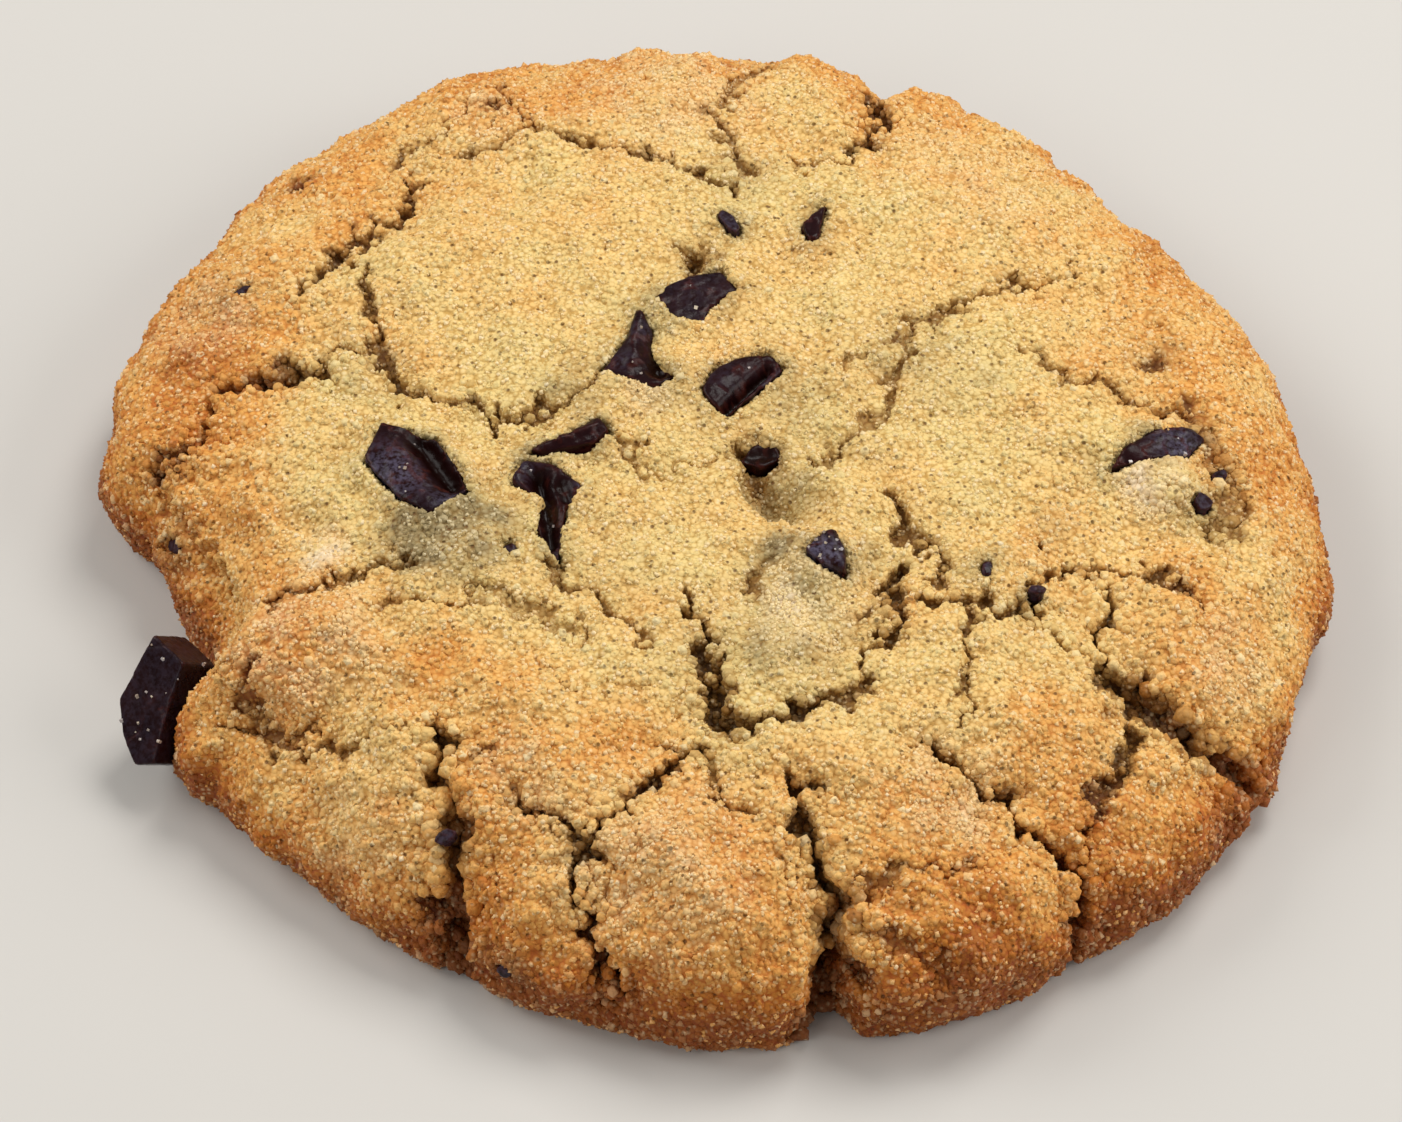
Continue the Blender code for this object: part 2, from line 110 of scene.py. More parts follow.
def wrap(u, v, lift):
    """Points in millimetres for places on the map, raised by lift from the smooth dome."""
    distance = np.hypot(u, v)
    heading = np.arctan2(v, u)
    oval = OVAL_RADIUS * np.cos(2 * (heading - math.radians(OVAL_HEADING)))
    bumps = np.zeros_like(heading)
    for centre, spread, size in RIM_BUMPS:
        away = (np.degrees(heading) - centre + 180) % 360 - 180
        bumps += size * np.exp(-((away / spread) ** 6))
    fade = smooth_step((distance - 0.55 * SPAN) / (0.3 * SPAN))
    radius = np.interp(distance, LENGTH, RADIUS) * (1 + oval / MEAN_RADIUS) + bumps * fade
    radius = radius + np.interp(distance, LENGTH, OUTWARD) * lift
    height = np.interp(distance, LENGTH, HEIGHT) + np.interp(distance, LENGTH, UPWARD) * lift
    return np.stack([radius * np.cos(heading), radius * np.sin(heading), height], axis=-1)


print("rim bumps and dents:", len(RIM_BUMPS))

# %% [markdown]
# ## Puffed plates and lumps
# The crust sets first and the dough under it keeps rising, so the top ends up as puffed
# plates between cracks. Each plate is one soft bump on the map, a sunken place is a negative
# one, and smooth noise makes the rest uneven.

# %% Plates and lumps
PLATES = (  # place u, v, radius and lift
    (-10, 14, 11, 0.5), (-29, -19, 5, 0.9), (-11, -26, 6, 0.7), (-3, -36, 6, 1.1),
    (19, -22, 6, 0.8), (15, -39, 7, 0.8), (36, -15, 7, 0.7), (36, 8, 7, 0.6),
    (24, 26, 9, 0.5), (8, 34, 6, 0.6), (-18, 34, 8, 0.5), (-37, 12, 8, 0.6),
    (-41, -14, 4.5, -0.8), (7, 1, 7, -0.4), (-8, -12, 6, -0.3), (-4, -39, 2.5, -0.5),
    (4.0, -6.0, 2.0, -1.5), (5.8, -7.2, 2.0, -0.8), (6.5, -11.5, 3.0, 0.5), (31.6, -4.9, 1.9, 1.3),
    (37.6, -6, 3.2, 0.7), (37, 3.5, 3.2, 0.5), (-12.5, -9.0, 1.6, 0.4), (-16.2, -4.5, 1.8, 0.5),
)
LUMP_SIZES = ((9.0, 0.55), (3.6, 0.32), (1.7, 0.14))


def bump(u, v, centre_u, centre_v, radius):
    """A smooth rise that is 1 in its middle and dies out past its radius."""
    away = ((u - centre_u) ** 2 + (v - centre_v) ** 2) / radius**2
    return np.exp(-(away**1.5))


def spots(u, v, places):
    """The sum of several bumps, each given by its place u, v, radius and amount."""
    return sum(amount * bump(u, v, *spot) for *spot, amount in places)


def lumps(u, v, size, seed):
    """Uneven dough with lumps of one size, between -1 and 1."""
    return 2.0 * np.array([noise.noise((a / size, b / size, seed)) for a, b in zip(u, v)])


print("plates and hollows:", len(PLATES))

# %% [markdown]
# ## Cracks
# A crack is a short route on the map, with a width and a depth at each end. Three to five
# corners are enough, because noise then makes it wander and frays its edges. It has crumbly
# walls and a broad roll of crust down to them, which makes the plates look puffed.

# %% Crack routes
CRACKS = {  # width and depth at the start, width and depth at the end, then the route
    "upper left": (1.2, 1.1, 1.3, 1.2, (-21, 25), (-22, 19), (-25, 17), (-28.5, 13)),
    "upper plate side": (0.8, 0.8, 1.0, 1.0, (-24.3, 15), (-23.5, 8), (-21.7, 3.2)),
    "upper plate foot": (1.0, 1.0, 0.8, 0.8, (-21.7, 3.2), (-16.7, 2), (-14.5, -0.2), (-7.5, 3.4)),
    "left rim": (1.2, 1.5, 1.0, 1.4, (-28, 5.8), (-34.4, 5), (-36.3, 1), (-41, -1.2)),
    "left step": (1.2, 0.45, 0.9, 0.3, (-43, -3), (-39.6, -10.5), (-36.6, -16.5), (-32.5, -20.4)),
    "left step foot": (1.2, 0.8, 0.9, 0.7, (-32.5, -20.4), (-33.5, -24.5), (-29, -25.8)),
    "top plate": (0.8, 0.7, 1.0, 0.9, (-17.8, 26), (-12, 27.6), (-2.6, 24.6), (1.7, 22)),
    "top groove": (1.2, 0.6, 1.0, 0.7, (4, 38), (-0.3, 30.4), (2, 24)),
    "top notch": (0.8, 0.4, 1.3, 2.1, (6.4, 25.6), (10.3, 26.4), (12.2, 30.5), (13.6, 39)),
    "right plate": (0.8, 0.8, 0.8, 0.6, (28, 15.7), (22.3, 13.8), (14, 8.8), (12.8, 1.5), (7.5, -3.3)),
    "right groove": (0.8, 0.55, 0.9, 0.8, (22.4, 7.5), (25.5, 4), (31.5, 2.9), (34.4, 0.7)),
    "middle right": (0.9, 0.9, 0.8, 0.8, (11.2, -5.8), (12.8, -9), (14.7, -11.6), (14.9, -13.1)),
    "middle right foot": (1.0, 1.2, 0.8, 0.9, (11.8, -12.1), (11, -18), (9.6, -20), (9, -22.4)),
    "right seam": (1.0, 1.0, 0.9, 0.9, (14, -14.9), (20.2, -15.4), (23, -12), (30.6, -12), (32, -13.6)),
    "right fissure": (1.1, 1.3, 1.8, 2.5, (25.8, -13.2), (25.7, -20), (33, -24.4), (40, -26.6)),
    "left seam": (0.9, 0.75, 0.8, 0.8, (-36.3, -16.2), (-30.6, -15), (-22, -13)),
    "middle seam": (1.0, 0.6, 0.8, 0.45, (-23, -16.6), (-15, -16), (-9.3, -19)),
    "middle crack": (0.8, 0.9, 1.3, 1.8, (-1.4, -16), (-0.6, -20), (0.5, -25.6)),
    "middle branch": (1.3, 1.8, 0.8, 0.9, (0.5, -25.6), (5, -24.7), (9.5, -22.4)),
    "left pocket": (1.0, 0.9, 1.0, 0.7, (-34.6, -23.7), (-30, -26.4), (-25.8, -27.5)),
    "near left fissure": (1.4, 1.6, 2.8, 3.4, (-19.2, -27.6), (-18, -35), (-19.5, -41), (-22, -50)),
    "near left split": (0.9, 1.3, 1.1, 1.7, (-8.2, -34.4), (-9.2, -36.4), (-7.1, -46)),
    "near plate top": (1.0, 1.1, 1.0, 1.4, (-14, -32), (-8.2, -34.2), (-3.5, -29.5), (-0.9, -27.6)),
    "near fissure": (1.1, 1.2, 2.5, 4.6, (5.2, -28.7), (5.8, -34.5), (8.4, -38.5), (8.2, -54)),
    "near right": (0.9, 1.1, 1.4, 2.2, (13.7, -26.5), (18.6, -30), (24.3, -35), (28, -44)),
    "near right branch": (1.0, 1.0, 0.9, 0.9, (27.6, -24), (24.6, -30.5), (23.4, -34)),
    "near right plate": (0.9, 0.75, 0.8, 0.5, (8.2, -37.6), (10.6, -35.2), (16.3, -34.4)),
}
HAIRLINES = {  # finer cracks, too fine for the solids
    "upper left spur": (0.7, 0.6, 0.5, 0.4, (-27, 7.1), (-23.6, 6.8)),
    "right plate spur": (0.5, 0.5, 0.4, 0.4, (10.5, 4.7), (11.6, 6.2)),
    "lower middle": (0.5, 0.25, 0.5, 0.25, (-12.7, -20.4), (-12, -21.8), (-9, -23.4), (-3.6, -22.6)),
    "middle curve": (0.8, 0.7, 0.7, 0.55, (-11.5, -13.9), (-7.5, -16.4), (-3.6, -19.6)),
    "shard tail": (0.6, 0.6, 0.5, 0.4, (-7.6, -1.5), (-5.4, -3.5), (-3.9, -5.3)),
    "centre seam": (0.5, 0.35, 0.5, 0.3, (-3.9, -5.3), (-0.9, -3.6), (1.5, -3.1)),
    "right hook": (0.8, 0.9, 0.6, 0.6, (17.1, -15.5), (16.9, -18.1), (16.2, -20.2), (15.7, -24.6)),
    "near right foot": (0.9, 0.9, 0.7, 0.5, (7.9, -37.2), (9.6, -38.9), (12.1, -40), (15, -41.1)),
    "dusty left": (0.7, 0.7, 0.5, 0.2, (1.9, -14.1), (3.0, -12.8), (4.4, -12.2)),
    "right diagonal": (0.5, 0.5, 0.5, 0.4, (20.2, -15.8), (25.4, -18.8)),
    "right edge": (0.5, 0.5, 0.5, 0.4, (34.1, -7.6), (34.6, -9.4)),
    "right groove foot": (1.6, 0.6, 1.3, 0.7, (34.4, 0.7), (35.9, -2.4), (36.0, -5.6), (34.3, -8.4)),
    "grey hollow": (0.8, 0.7, 0.7, 0.6, (-3.5, -27.2), (-0.9, -27.8), (1, -31), (2.8, -31.8)),
    "left plate spur": (0.5, 0.5, 0.5, 0.4, (-25.8, -27.5), (-23, -26), (-20, -27.6)),
    "top left": (0.6, 0.5, 0.5, 0.4, (-21.9, 27.5), (-19, 29), (-17.5, 33)),
    "far left": (0.6, 0.5, 0.6, 0.6, (-24, 38), (-16, 35), (-12.6, 28)),
}
PITS = (  # place u, v, radius and depth
    (-1.2, 14.2, 1.4, 1.9), (1.0, -25.8, 1.1, 1.2), (-30, 6.6, 1.0, 1.1), (-29.7, 26.4, 1.0, 1.0),
    (25.7, -20.6, 1.0, 1.0), (18.3, -29.8, 0.9, 0.9), (7.8, -39.6, 1.1, 1.0), (2.8, -13.7, 0.8, 0.7),
    (-21.9, 27.3, 0.6, 0.7), (-23.6, 23.4, 0.6, 0.7), (-32.1, -26.9, 0.6, 0.7), (-16.2, -28, 0.5, 0.6),
    (-5.9, -31, 0.6, 0.7), (-11, -34.4, 0.5, 0.6), (-0.2, -30.8, 0.5, 0.6), (28, -20.6, 0.7, 0.9),
    (9.9, -16, 0.5, 0.7), (11, -18.1, 0.5, 0.8), (17, -15.7, 0.5, 0.7), (31.6, -23.6, 0.7, 0.9),
    (13.2, 7, 0.5, 0.6), (26.9, 16.9, 0.5, 0.6), (-38.9, -1.1, 0.7, 0.9), (12.1, 28.4, 0.8, 1.0),
    (-22.1, 27.7, 0.8, 0.8), (-15.6, 30.9, 0.8, 0.7), (32.2, 7, 0.9, 0.8), (33.8, 3, 0.8, 0.7),
    (3.2, -3.0, 1.7, 1.2), (-40.9, -1.4, 1.0, 1.3),
    (-14.1, -31.7, 0.8, 0.9), (-8.8, -34.8, 0.9, 1.1), (24.7, -28.9, 0.9, 1.0),
)
STEPS = {  # drop, reach of the lower side in millimetres, which side is lower, then the route
    "sunken edge": (1.6, 2.2, 1, (1.6, -3.4), (1.4, -5.0), (2.0, -6.8), (3.4, -8.2), (5.6, -8.9)),
    "upper plate edge": (0.55, 2.2, -1, (-23.1, 4.9), (-21.6, 3.3), (-18.7, 2.8), (-15.6, 0.4),
                         (-12.5, 0.2), (-7.7, 3.4)),
    "left plate edge": (0.7, 4.6, -1, (-41.5, -2.5), (-39.6, -9), (-36.6, -16.5), (-33.0, -21.6),
                        (-29, -24.6)),
    "near plate edge": (0.4, 1.6, 1, (-3.5, -29.5), (-8.2, -34.2), (-7.6, -44)),
}
print("cracks:", len(CRACKS), "hairlines:", len(HAIRLINES), "pits:", len(PITS), "steps:", len(STEPS))

# %% [markdown]
# ## How deep the crust is cut at a place
# A place is compared with the nearest point on a route, and the distance over the crack's
# width gives the depth. Noise moves the place a little first, which bends the straight legs
# and frays their edges.

# %% Crack and pit depth
CRACK_WANDER = 0.5
WANDER_SIZE = 2.6
FRAYS = ((1.6, 0.55, 17.1), (0.8, 0.32, 55.3), (0.45, 0.12, 31.9))  # size, amount and seed
WALL_EDGE = 0.42  # half the gap between the walls, as a share of a crack's width
SHADE_EDGE = 0.64  # half of what is darkened
WIDE_EDGE = 0.30  # what a wide crack adds to both
WALL_SLOPE = 0.30
WALL_SHARE = 0.95
ROLL_WIDTH = 1.9
ROLL_SHARE = 0.42
LIP_PLACE = 0.8
LIP_SPREAD = 0.75
STEP_SLOPE = 0.35
FAR_AWAY = 99.0


def legs_of(route):
    """Start, direction and length of each leg, the length before it and the whole length."""
    route = np.array(route, dtype=float)
    legs = np.hypot(*np.diff(route, axis=0).T)
    before = np.concatenate([[0.0], np.cumsum(legs)])
    ways = np.diff(route, axis=0) / legs[:, None]
    return [(*leg, before[-1]) for leg in zip(route, ways, legs, before)]


def crack_reach(u, v, crack):
    """Distance over width, depth and width for the part of one crack that is nearest."""
    width_start, depth_start, width_end, depth_end, *route = crack
    nearest = np.full_like(u, FAR_AWAY)
    share_there = np.zeros_like(u)
    for start, way, leg, before, whole in legs_of(route):
        along = np.clip((u - start[0]) * way[0] + (v - start[1]) * way[1], 0, leg)
        away = np.hypot(u - start[0] - along * way[0], v - start[1] - along * way[1])
        share = (before + along) / whole
        ratio = away / (width_start + (width_end - width_start) * share)
        share_there = np.where(ratio < nearest, share, share_there)
        nearest = np.minimum(nearest, ratio)
    depth = depth_start + (depth_end - depth_start) * share_there
    width = width_start + (width_end - width_start) * share_there
    return nearest, depth, width


def frayed(u, v):
    """Places moved a little, so that routes wander and their edges fray."""
    moved_u = u + CRACK_WANDER * lumps(u, v, WANDER_SIZE, 71.3)
    moved_v = v + CRACK_WANDER * lumps(u, v, WANDER_SIZE, 93.7)
    for size, amount, seed in FRAYS:
        moved_u += amount * lumps(u, v, size, seed)
        moved_v += amount * lumps(u, v, size, seed + 22.8)
    return moved_u, moved_v


def crack_cut(u, v):
    """Depth of the cracks and pits, then their painted shade, how near an edge and how wide, from 0 to 1.
    """
    gape = 1 + 0.35 * lumps(u, v, 3.3, 44.4)
    u, v = frayed(u, v)
    cut, shade, lip, fissure = (np.zeros_like(u) for _ in range(4))
    for crack in (*CRACKS.values(), *HAIRLINES.values()):
        ratio, depth, width = crack_reach(u, v, crack)
        wider = WIDE_EDGE * np.clip(width - 1.0, 0, 1)
        inside = smooth_step((0.9 - ratio) / 0.3)
        fissure = np.maximum(fissure, inside * np.clip((width - 1.3) / 0.6, 0, 1))
        wall = smooth_step(((WALL_EDGE + wider) * gape - ratio) / WALL_SLOPE + 0.5)
        roll = np.exp(-((ratio / ROLL_WIDTH) ** 2))
        cut = np.maximum(cut, depth * (WALL_SHARE * wall + ROLL_SHARE * roll))
        # The dark band inside a crack is painted shade, which the materials lay into the colour.
        dark = smooth_step(((SHADE_EDGE + wider) * gape - ratio) / 0.36)
        shade = np.maximum(shade, np.clip((depth - 0.2) / 1.1, 0, 1) * dark)
        torn = np.clip((depth - 0.7) / 0.9, 0.06, 1)
        lip = np.maximum(lip, torn * np.exp(-(((ratio - LIP_PLACE) / LIP_SPREAD) ** 2)))
    for centre_u, centre_v, radius, depth in PITS:
        hole = bump(u, v, centre_u, centre_v, radius)
        cut = np.maximum(cut, depth * hole)
        # Pits get painted shade too.
        shade = np.maximum(shade, np.clip(depth, 0, 1) * hole)
    return cut, shade, lip, fissure


def step_drop(u, v, steps):
    """How far the crust drops on the lower side of each of the given steps."""
    u, v = frayed(u, v)
    drop = np.zeros_like(u)
    for depth, reach, lower, *route in steps:
        nearest = np.full_like(u, FAR_AWAY)
        signed = np.zeros_like(u)
        share = np.zeros_like(u)
        for start, way, leg, before, whole in legs_of(route):
            across = way[0] * (v - start[1]) - way[1] * (u - start[0])
            along = (u - start[0]) * way[0] + (v - start[1]) * way[1]
            held = np.clip(along, 0, leg)
            away = np.hypot(across, along - held)
            closer = away < nearest
            nearest = np.where(closer, away, nearest)
            signed = np.where(closer, np.sign(across) * away * lower, signed)
            share = np.where(closer, (before + held) / whole, share)
        side = smooth_step(signed / STEP_SLOPE + 0.2)
        ends = np.sqrt(np.clip(np.sin(np.pi * (0.04 + 0.92 * share)), 0, 1))
        drop = np.maximum(drop, depth * side * ends * np.exp(-((nearest / reach) ** 2)))
    return drop


print("crack walls start at", WALL_EDGE, "of a crack's width")

# %% [markdown]
# ## The chocolate's outlines
# Broken chocolate has corners, so each chunk is an outline of a few corners on the same
# map, with the height that it stands over the crust. The dough keeps a shallow bed under
# each one, and a lip of crumb round it.

# %% Chunk outlines and beds
CHUNKS = {  # rise over the crust, then the corners on the map
    "chunk_top": (0.35, (-3.9, 10.0), (-3.0, 11.3), (-1.2, 12.3), (0.7, 13.0), (1.9, 11.2),
                  (0.5, 10.2), (-0.6, 7.8), (-2.6, 8.0)),
    "chunk_wedge": (0.3, (-5, 8.8), (-4, 7.2), (-3.9, 5), (-2.4, 3.2), (-3.8, 2.2), (-7.6, 3.7),
                    (-5.7, 6.4)),
    "chunk_ridged": (0.5, (-0.8, 2), (0, 3.8), (1.7, 5.1), (4.3, 5.7), (5.3, 4.3), (3, 1.9),
                     (1.2, 0.2), (0, 0.7)),
    "chunk_big": (0.9, (-23.4, -0.6), (-21.4, -1.2), (-19.6, -2), (-18.2, -4.8), (-17.4, -7.2),
                  (-20.2, -9.4), (-22.4, -7.6), (-24.8, -4)),
    "chunk_split": (0.3, (-13.7, -4.2), (-11.5, -4.6), (-9.3, -6.6), (-10.5, -8.6), (-10.7, -11),
                    (-11, -13.4), (-12.6, -10.4), (-12.4, -7.6), (-14.4, -6.2)),
    "chunk_shard": (0.5, (-13.2, -3.4), (-10, -1.9), (-8.1, -0.5), (-7.3, -1.6), (-8.4, -2.9),
                    (-12.2, -3.8)),
    "chunk_sunken": (0.2, (1.7, -3.2), (2.8, -1.6), (4.4, -1.8), (4.6, -2.9), (3.2, -3.6)),
    "chunk_dusty": (0.6, (7.8, -10.2), (8.6, -12), (8.5, -13.6), (6.9, -12.9), (5.9, -11.9),
                    (6.7, -10.8)),
    "chunk_right": (0.7, (27.4, -4.2), (28.4, -2.6), (31, -0.3), (33.4, 0.4), (34.6, -0.5),
                    (32.8, -2.4), (30.2, -3.2)),
    "chunk_far": (0.3, (6.4, 18.4), (7, 16.8), (7.8, 17.2), (8.4, 21), (7.6, 20)),
}
BITS = (  # place u, v, length, width and heading in degrees
    (1.2, 18, 2.6, 1.1, 115), (35.2, -3.2, 1.7, 1.1, 55), (33.6, -6.0, 1.8, 1.2, 60),
    (-33.0, 13.7, 1.5, 1.0, 15), (-43.6, -6.2, 2.2, 1.4, -35), (-14.5, -12.3, 1.3, 1.0, 30),
    (-18.4, -34.2, 1.6, 1.2, 20), (-15, -43.5, 1.4, 1.1, 40), (17.9, -12.8, 1.2, 0.9, 60),
    (21.2, -14.3, 1.3, 0.9, 10),
)
BIT_SIDES = 6
BIT_RISE = 0.3
BED_DEPTH = 1.9
LIP_WIDTH = 0.6


def bit_corners(centre_u, centre_v, length, width, heading, seed):
    """The uneven outline of a small bit of chocolate."""
    corners = []
    tilt = math.radians(heading)
    for index in range(BIT_SIDES):
        turn = 2 * math.pi * index / BIT_SIDES
        uneven = 1 + 0.18 * math.sin(2.4 * seed + 1.9 * index)
        x = 0.5 * length * uneven * math.cos(turn)
        y = 0.5 * width * uneven * math.sin(turn)
        corners.append((centre_u + x * math.cos(tilt) - y * math.sin(tilt),
                        centre_v + x * math.sin(tilt) + y * math.cos(tilt)))
    return corners


def outline_distance(u, v, corners):
    """Distance from an outline, negative inside it."""
    points = np.array(corners, dtype=float)
    nearest = np.full_like(u, FAR_AWAY)
    inside = np.zeros(u.shape, dtype=bool)
    for start, end in zip(points, np.roll(points, -1, axis=0)):
        side = end - start
        share = ((u - start[0]) * side[0] + (v - start[1]) * side[1]) / (side @ side)
        share = np.clip(share, 0, 1)
        away = np.hypot(u - start[0] - share * side[0], v - start[1] - share * side[1])
        nearest = np.minimum(nearest, away)
        crosses = (start[1] > v) != (end[1] > v)
        slope = side[0] / side[1] if abs(side[1]) > 1e-9 else 0.0
        inside ^= crosses & (u < start[0] + (v - start[1]) * slope)
    return np.where(inside, -nearest, nearest)


OUTLINES = [corners for _, *corners in CHUNKS.values()]
OUTLINES += [bit_corners(*bit, index) for index, bit in enumerate(BITS)]


def chocolate_distance(u, v):
    """Distance to the nearest chocolate on the map, negative under it."""
    return np.minimum.reduce([outline_distance(u, v, corners) for corners in OUTLINES])


print("chocolate outlines:", len(OUTLINES))

# %% [markdown]
# ## The whole relief
# The relief adds up plates, lumps, cracks, beds, and last the crumb, which is the coarse
# grain of creamed sugar and flour. A cell pattern with a round bump in each cell gives grains
# that touch, where plain noise would look like clay. Crumb is coarser where the dough tore.

# %% Relief of the crust
RELIEF_FADE = 3.0
RIM_CRUMB = 1.6  # how much higher the crumb stands at the rim
CRUMB_SIZES = (  # size, height, more at torn lips and seed
    (2.3, 0.0, 0.34, 2.2), (1.2, 0.085, 0.38, 5.2), (0.6, 0.06, 0.24, 8.8),
)


def crumb(u, v, size, seed):
    """Round grains that touch, between 0 in the gaps and 1 on their tops."""
    near = [noise.voronoi((a / size, b / size, seed))[0][0] for a, b in zip(u, v)]
    return 1.0 - np.minimum(np.array(near) * 1.15, 1.0) ** 2


def chocolate_lips(u, v):
    """Height of the crumb pushed up round each piece of chocolate."""
    lips = np.zeros_like(u)
    rises = [rise for rise, *_ in CHUNKS.values()] + [BIT_RISE] * len(BITS)
    for rise, corners in zip(rises, OUTLINES):
        near = np.exp(-(((outline_distance(u, v, corners) - 0.5) / LIP_WIDTH) ** 2))
        lips = np.maximum(lips, (0.04 + 0.55 * rise) * near)
    return lips


def crust_relief(u, v):
    """Height over the smooth dome."""
    lift = spots(u, v, PLATES) - step_drop(u, v, STEPS.values())
    for seed, (size, reach) in enumerate(LUMP_SIZES):
        lift += reach * lumps(u, v, size, 10.5 * (seed + 1))
    cut, _, lip, _ = crack_cut(u, v)
    moved_u, moved_v = frayed(u, v)
    beside = chocolate_distance(0.7 * u + 0.3 * moved_u, 0.7 * v + 0.3 * moved_v)
    torn = np.clip(lip + 0.2 * np.exp(-(((beside - 0.4) / 0.6) ** 2)), 0, 1)
    coarser = 1 + RIM_CRUMB * smooth_step((np.hypot(u, v) - 22) / 16)
    for size, reach, more, seed in CRUMB_SIZES:
        lift += (reach * coarser + more * torn) * (crumb(u, v, size, seed) - 0.5)
    lift -= BED_DEPTH * smooth_step(-beside / 0.3 + 0.3)
    lift += chocolate_lips(u, v) * smooth_step(beside / 0.3 + 0.2)
    fade = np.clip((SPAN - np.hypot(u, v)) / RELIEF_FADE, 0, 1)
    return (lift - cut) * fade


print("crumb sizes in millimetres:", [size for size, *_ in CRUMB_SIZES])

# %% [markdown]
# ## The crust as a mesh
# A hexagon fan, cut evenly many times, has near-equal triangles everywhere once it is spread
# over the round map, with no pinched pole. Each vertex keeps its (u, v) place. Thinning then
# spends the triangles where the cracks are, and the kept places give the colours later.

# %% Crust mesh
MAP_RINGS = 400
CRUST_TRIANGLES = 190_000


def hexagon_to_map(points):
    """Spread the points of a hexagon with corners at 1 evenly over the round map."""
    heading = np.arctan2(points[:, 1], points[:, 0]) % (2 * math.pi)
    sector = np.floor(heading / (math.pi / 3) + 1e-6)
    local = heading - sector * math.pi / 3
    reach = np.hypot(points[:, 0], points[:, 1])
    corner_share = reach * np.sin(math.pi / 3 - local)
    next_share = reach * np.sin(local)
    ring = (corner_share + next_share) / math.sin(math.pi / 3)
    turn = next_share / np.maximum(corner_share + next_share, 1e-9)
    heading = (sector + turn) * math.pi / 3
    return ring * SPAN * np.cos(heading), ring * SPAN * np.sin(heading)


def link(name, data):
    """Put a mesh, a light or a camera in the scene as an object."""
    piece = bpy.data.objects.new(name, data)
    bpy.context.scene.collection.objects.link(piece)
    return piece


def new_mesh(name, shape):
    """Turn a bmesh into a mesh."""
    mesh = bpy.data.meshes.new(name)
    shape.to_mesh(mesh)
    shape.free()
    return mesh


def read_points(mesh):
    """The places of a mesh's vertices, one to a row."""
    return read_all(mesh.vertices, "co", 3).astype(float)


def apply_modifiers(piece):
    """Replace an object's mesh with what its modifiers make of it."""
    depsgraph = bpy.context.evaluated_depsgraph_get()
    depsgraph.update()
    piece.data = bpy.data.meshes.new_from_object(piece.evaluated_get(depsgraph))
    piece.modifiers.clear()


def set_attribute(mesh, name, values):
    """Store one number for each vertex."""
    layer = mesh.attributes.get(name) or mesh.attributes.new(name, "FLOAT", "POINT")
    layer.data.foreach_set("value", np.ascontiguousarray(values, dtype=np.float32))


def read_all(things, name, width=1, kind=np.float32):
    """One property of many vertices or triangles, with its numbers in a row for each."""
    values = np.zeros(len(things) * width, dtype=kind)
    things.foreach_get(name, values)
    return values.reshape(-1, width)


def get_attribute(mesh, name):
    """Read one number for each vertex."""
    return read_all(mesh.attributes[name].data, "value")[:, 0].astype(float)


def make_crust():
    """The dough from crown to foot with all its cracks, open at the foot."""
    shape = bmesh.new()
    corner_ahead = Matrix.Rotation(math.radians(30), 4, "Z")
    bmesh.ops.create_circle(shape, cap_ends=True, cap_tris=True, segments=6, radius=1.0,
                            matrix=corner_ahead)
    bmesh.ops.subdivide_edges(shape, edges=shape.edges[:], cuts=MAP_RINGS - 1, use_grid_fill=True)
    mesh = new_mesh("crust", shape)
    u, v = hexagon_to_map(read_points(mesh))
    places = wrap(u, v, crust_relief(u, v)) * MM
    mesh.vertices.foreach_set("co", places.astype(np.float32).ravel())
    set_attribute(mesh, "map_u", u)
    set_attribute(mesh, "map_v", v)
    mesh.update()
    crust = link("crust", mesh)
    thinner = crust.modifiers.new("Fewer triangles", "DECIMATE")
    thinner.ratio = min(1.0, CRUST_TRIANGLES / len(mesh.polygons))
    apply_modifiers(crust)
    return crust


crust = make_crust()
print("crust triangles:", len(crust.data.polygons))

# %% [markdown]
# ## Closing the base
# The underside baked flat on a tray. Its rim is pressed onto the floor plane, then extruded
# inwards once and filled, so that the flat face has a ring of its own.

# %% Flat base
def close_base(crust):
    """Close the open foot with a flat base."""
    shape = bmesh.new()
    shape.from_mesh(crust.data)
    rim = [edge for edge in shape.edges if edge.is_boundary]
    for edge in rim:
        for vert in edge.verts:
            vert.co.z = 0.0
    inner = bmesh.ops.extrude_edge_only(shape, edges=rim)["geom"]
    for vert in inner:
        if isinstance(vert, bmesh.types.BMVert):
            vert.co *= 0.97
            vert.co.z = 0.0
    filled = bmesh.ops.contextual_create(
        shape, geom=[edge for edge in inner if isinstance(edge, bmesh.types.BMEdge)])
    bmesh.ops.triangulate(shape, faces=filled["faces"])
    bmesh.ops.recalc_face_normals(shape, faces=shape.faces[:])
    shape.to_mesh(crust.data)
    shape.free()
    crust.data.shade_smooth()


close_base(crust)
print("crust triangles with its base:", len(crust.data.polygons))
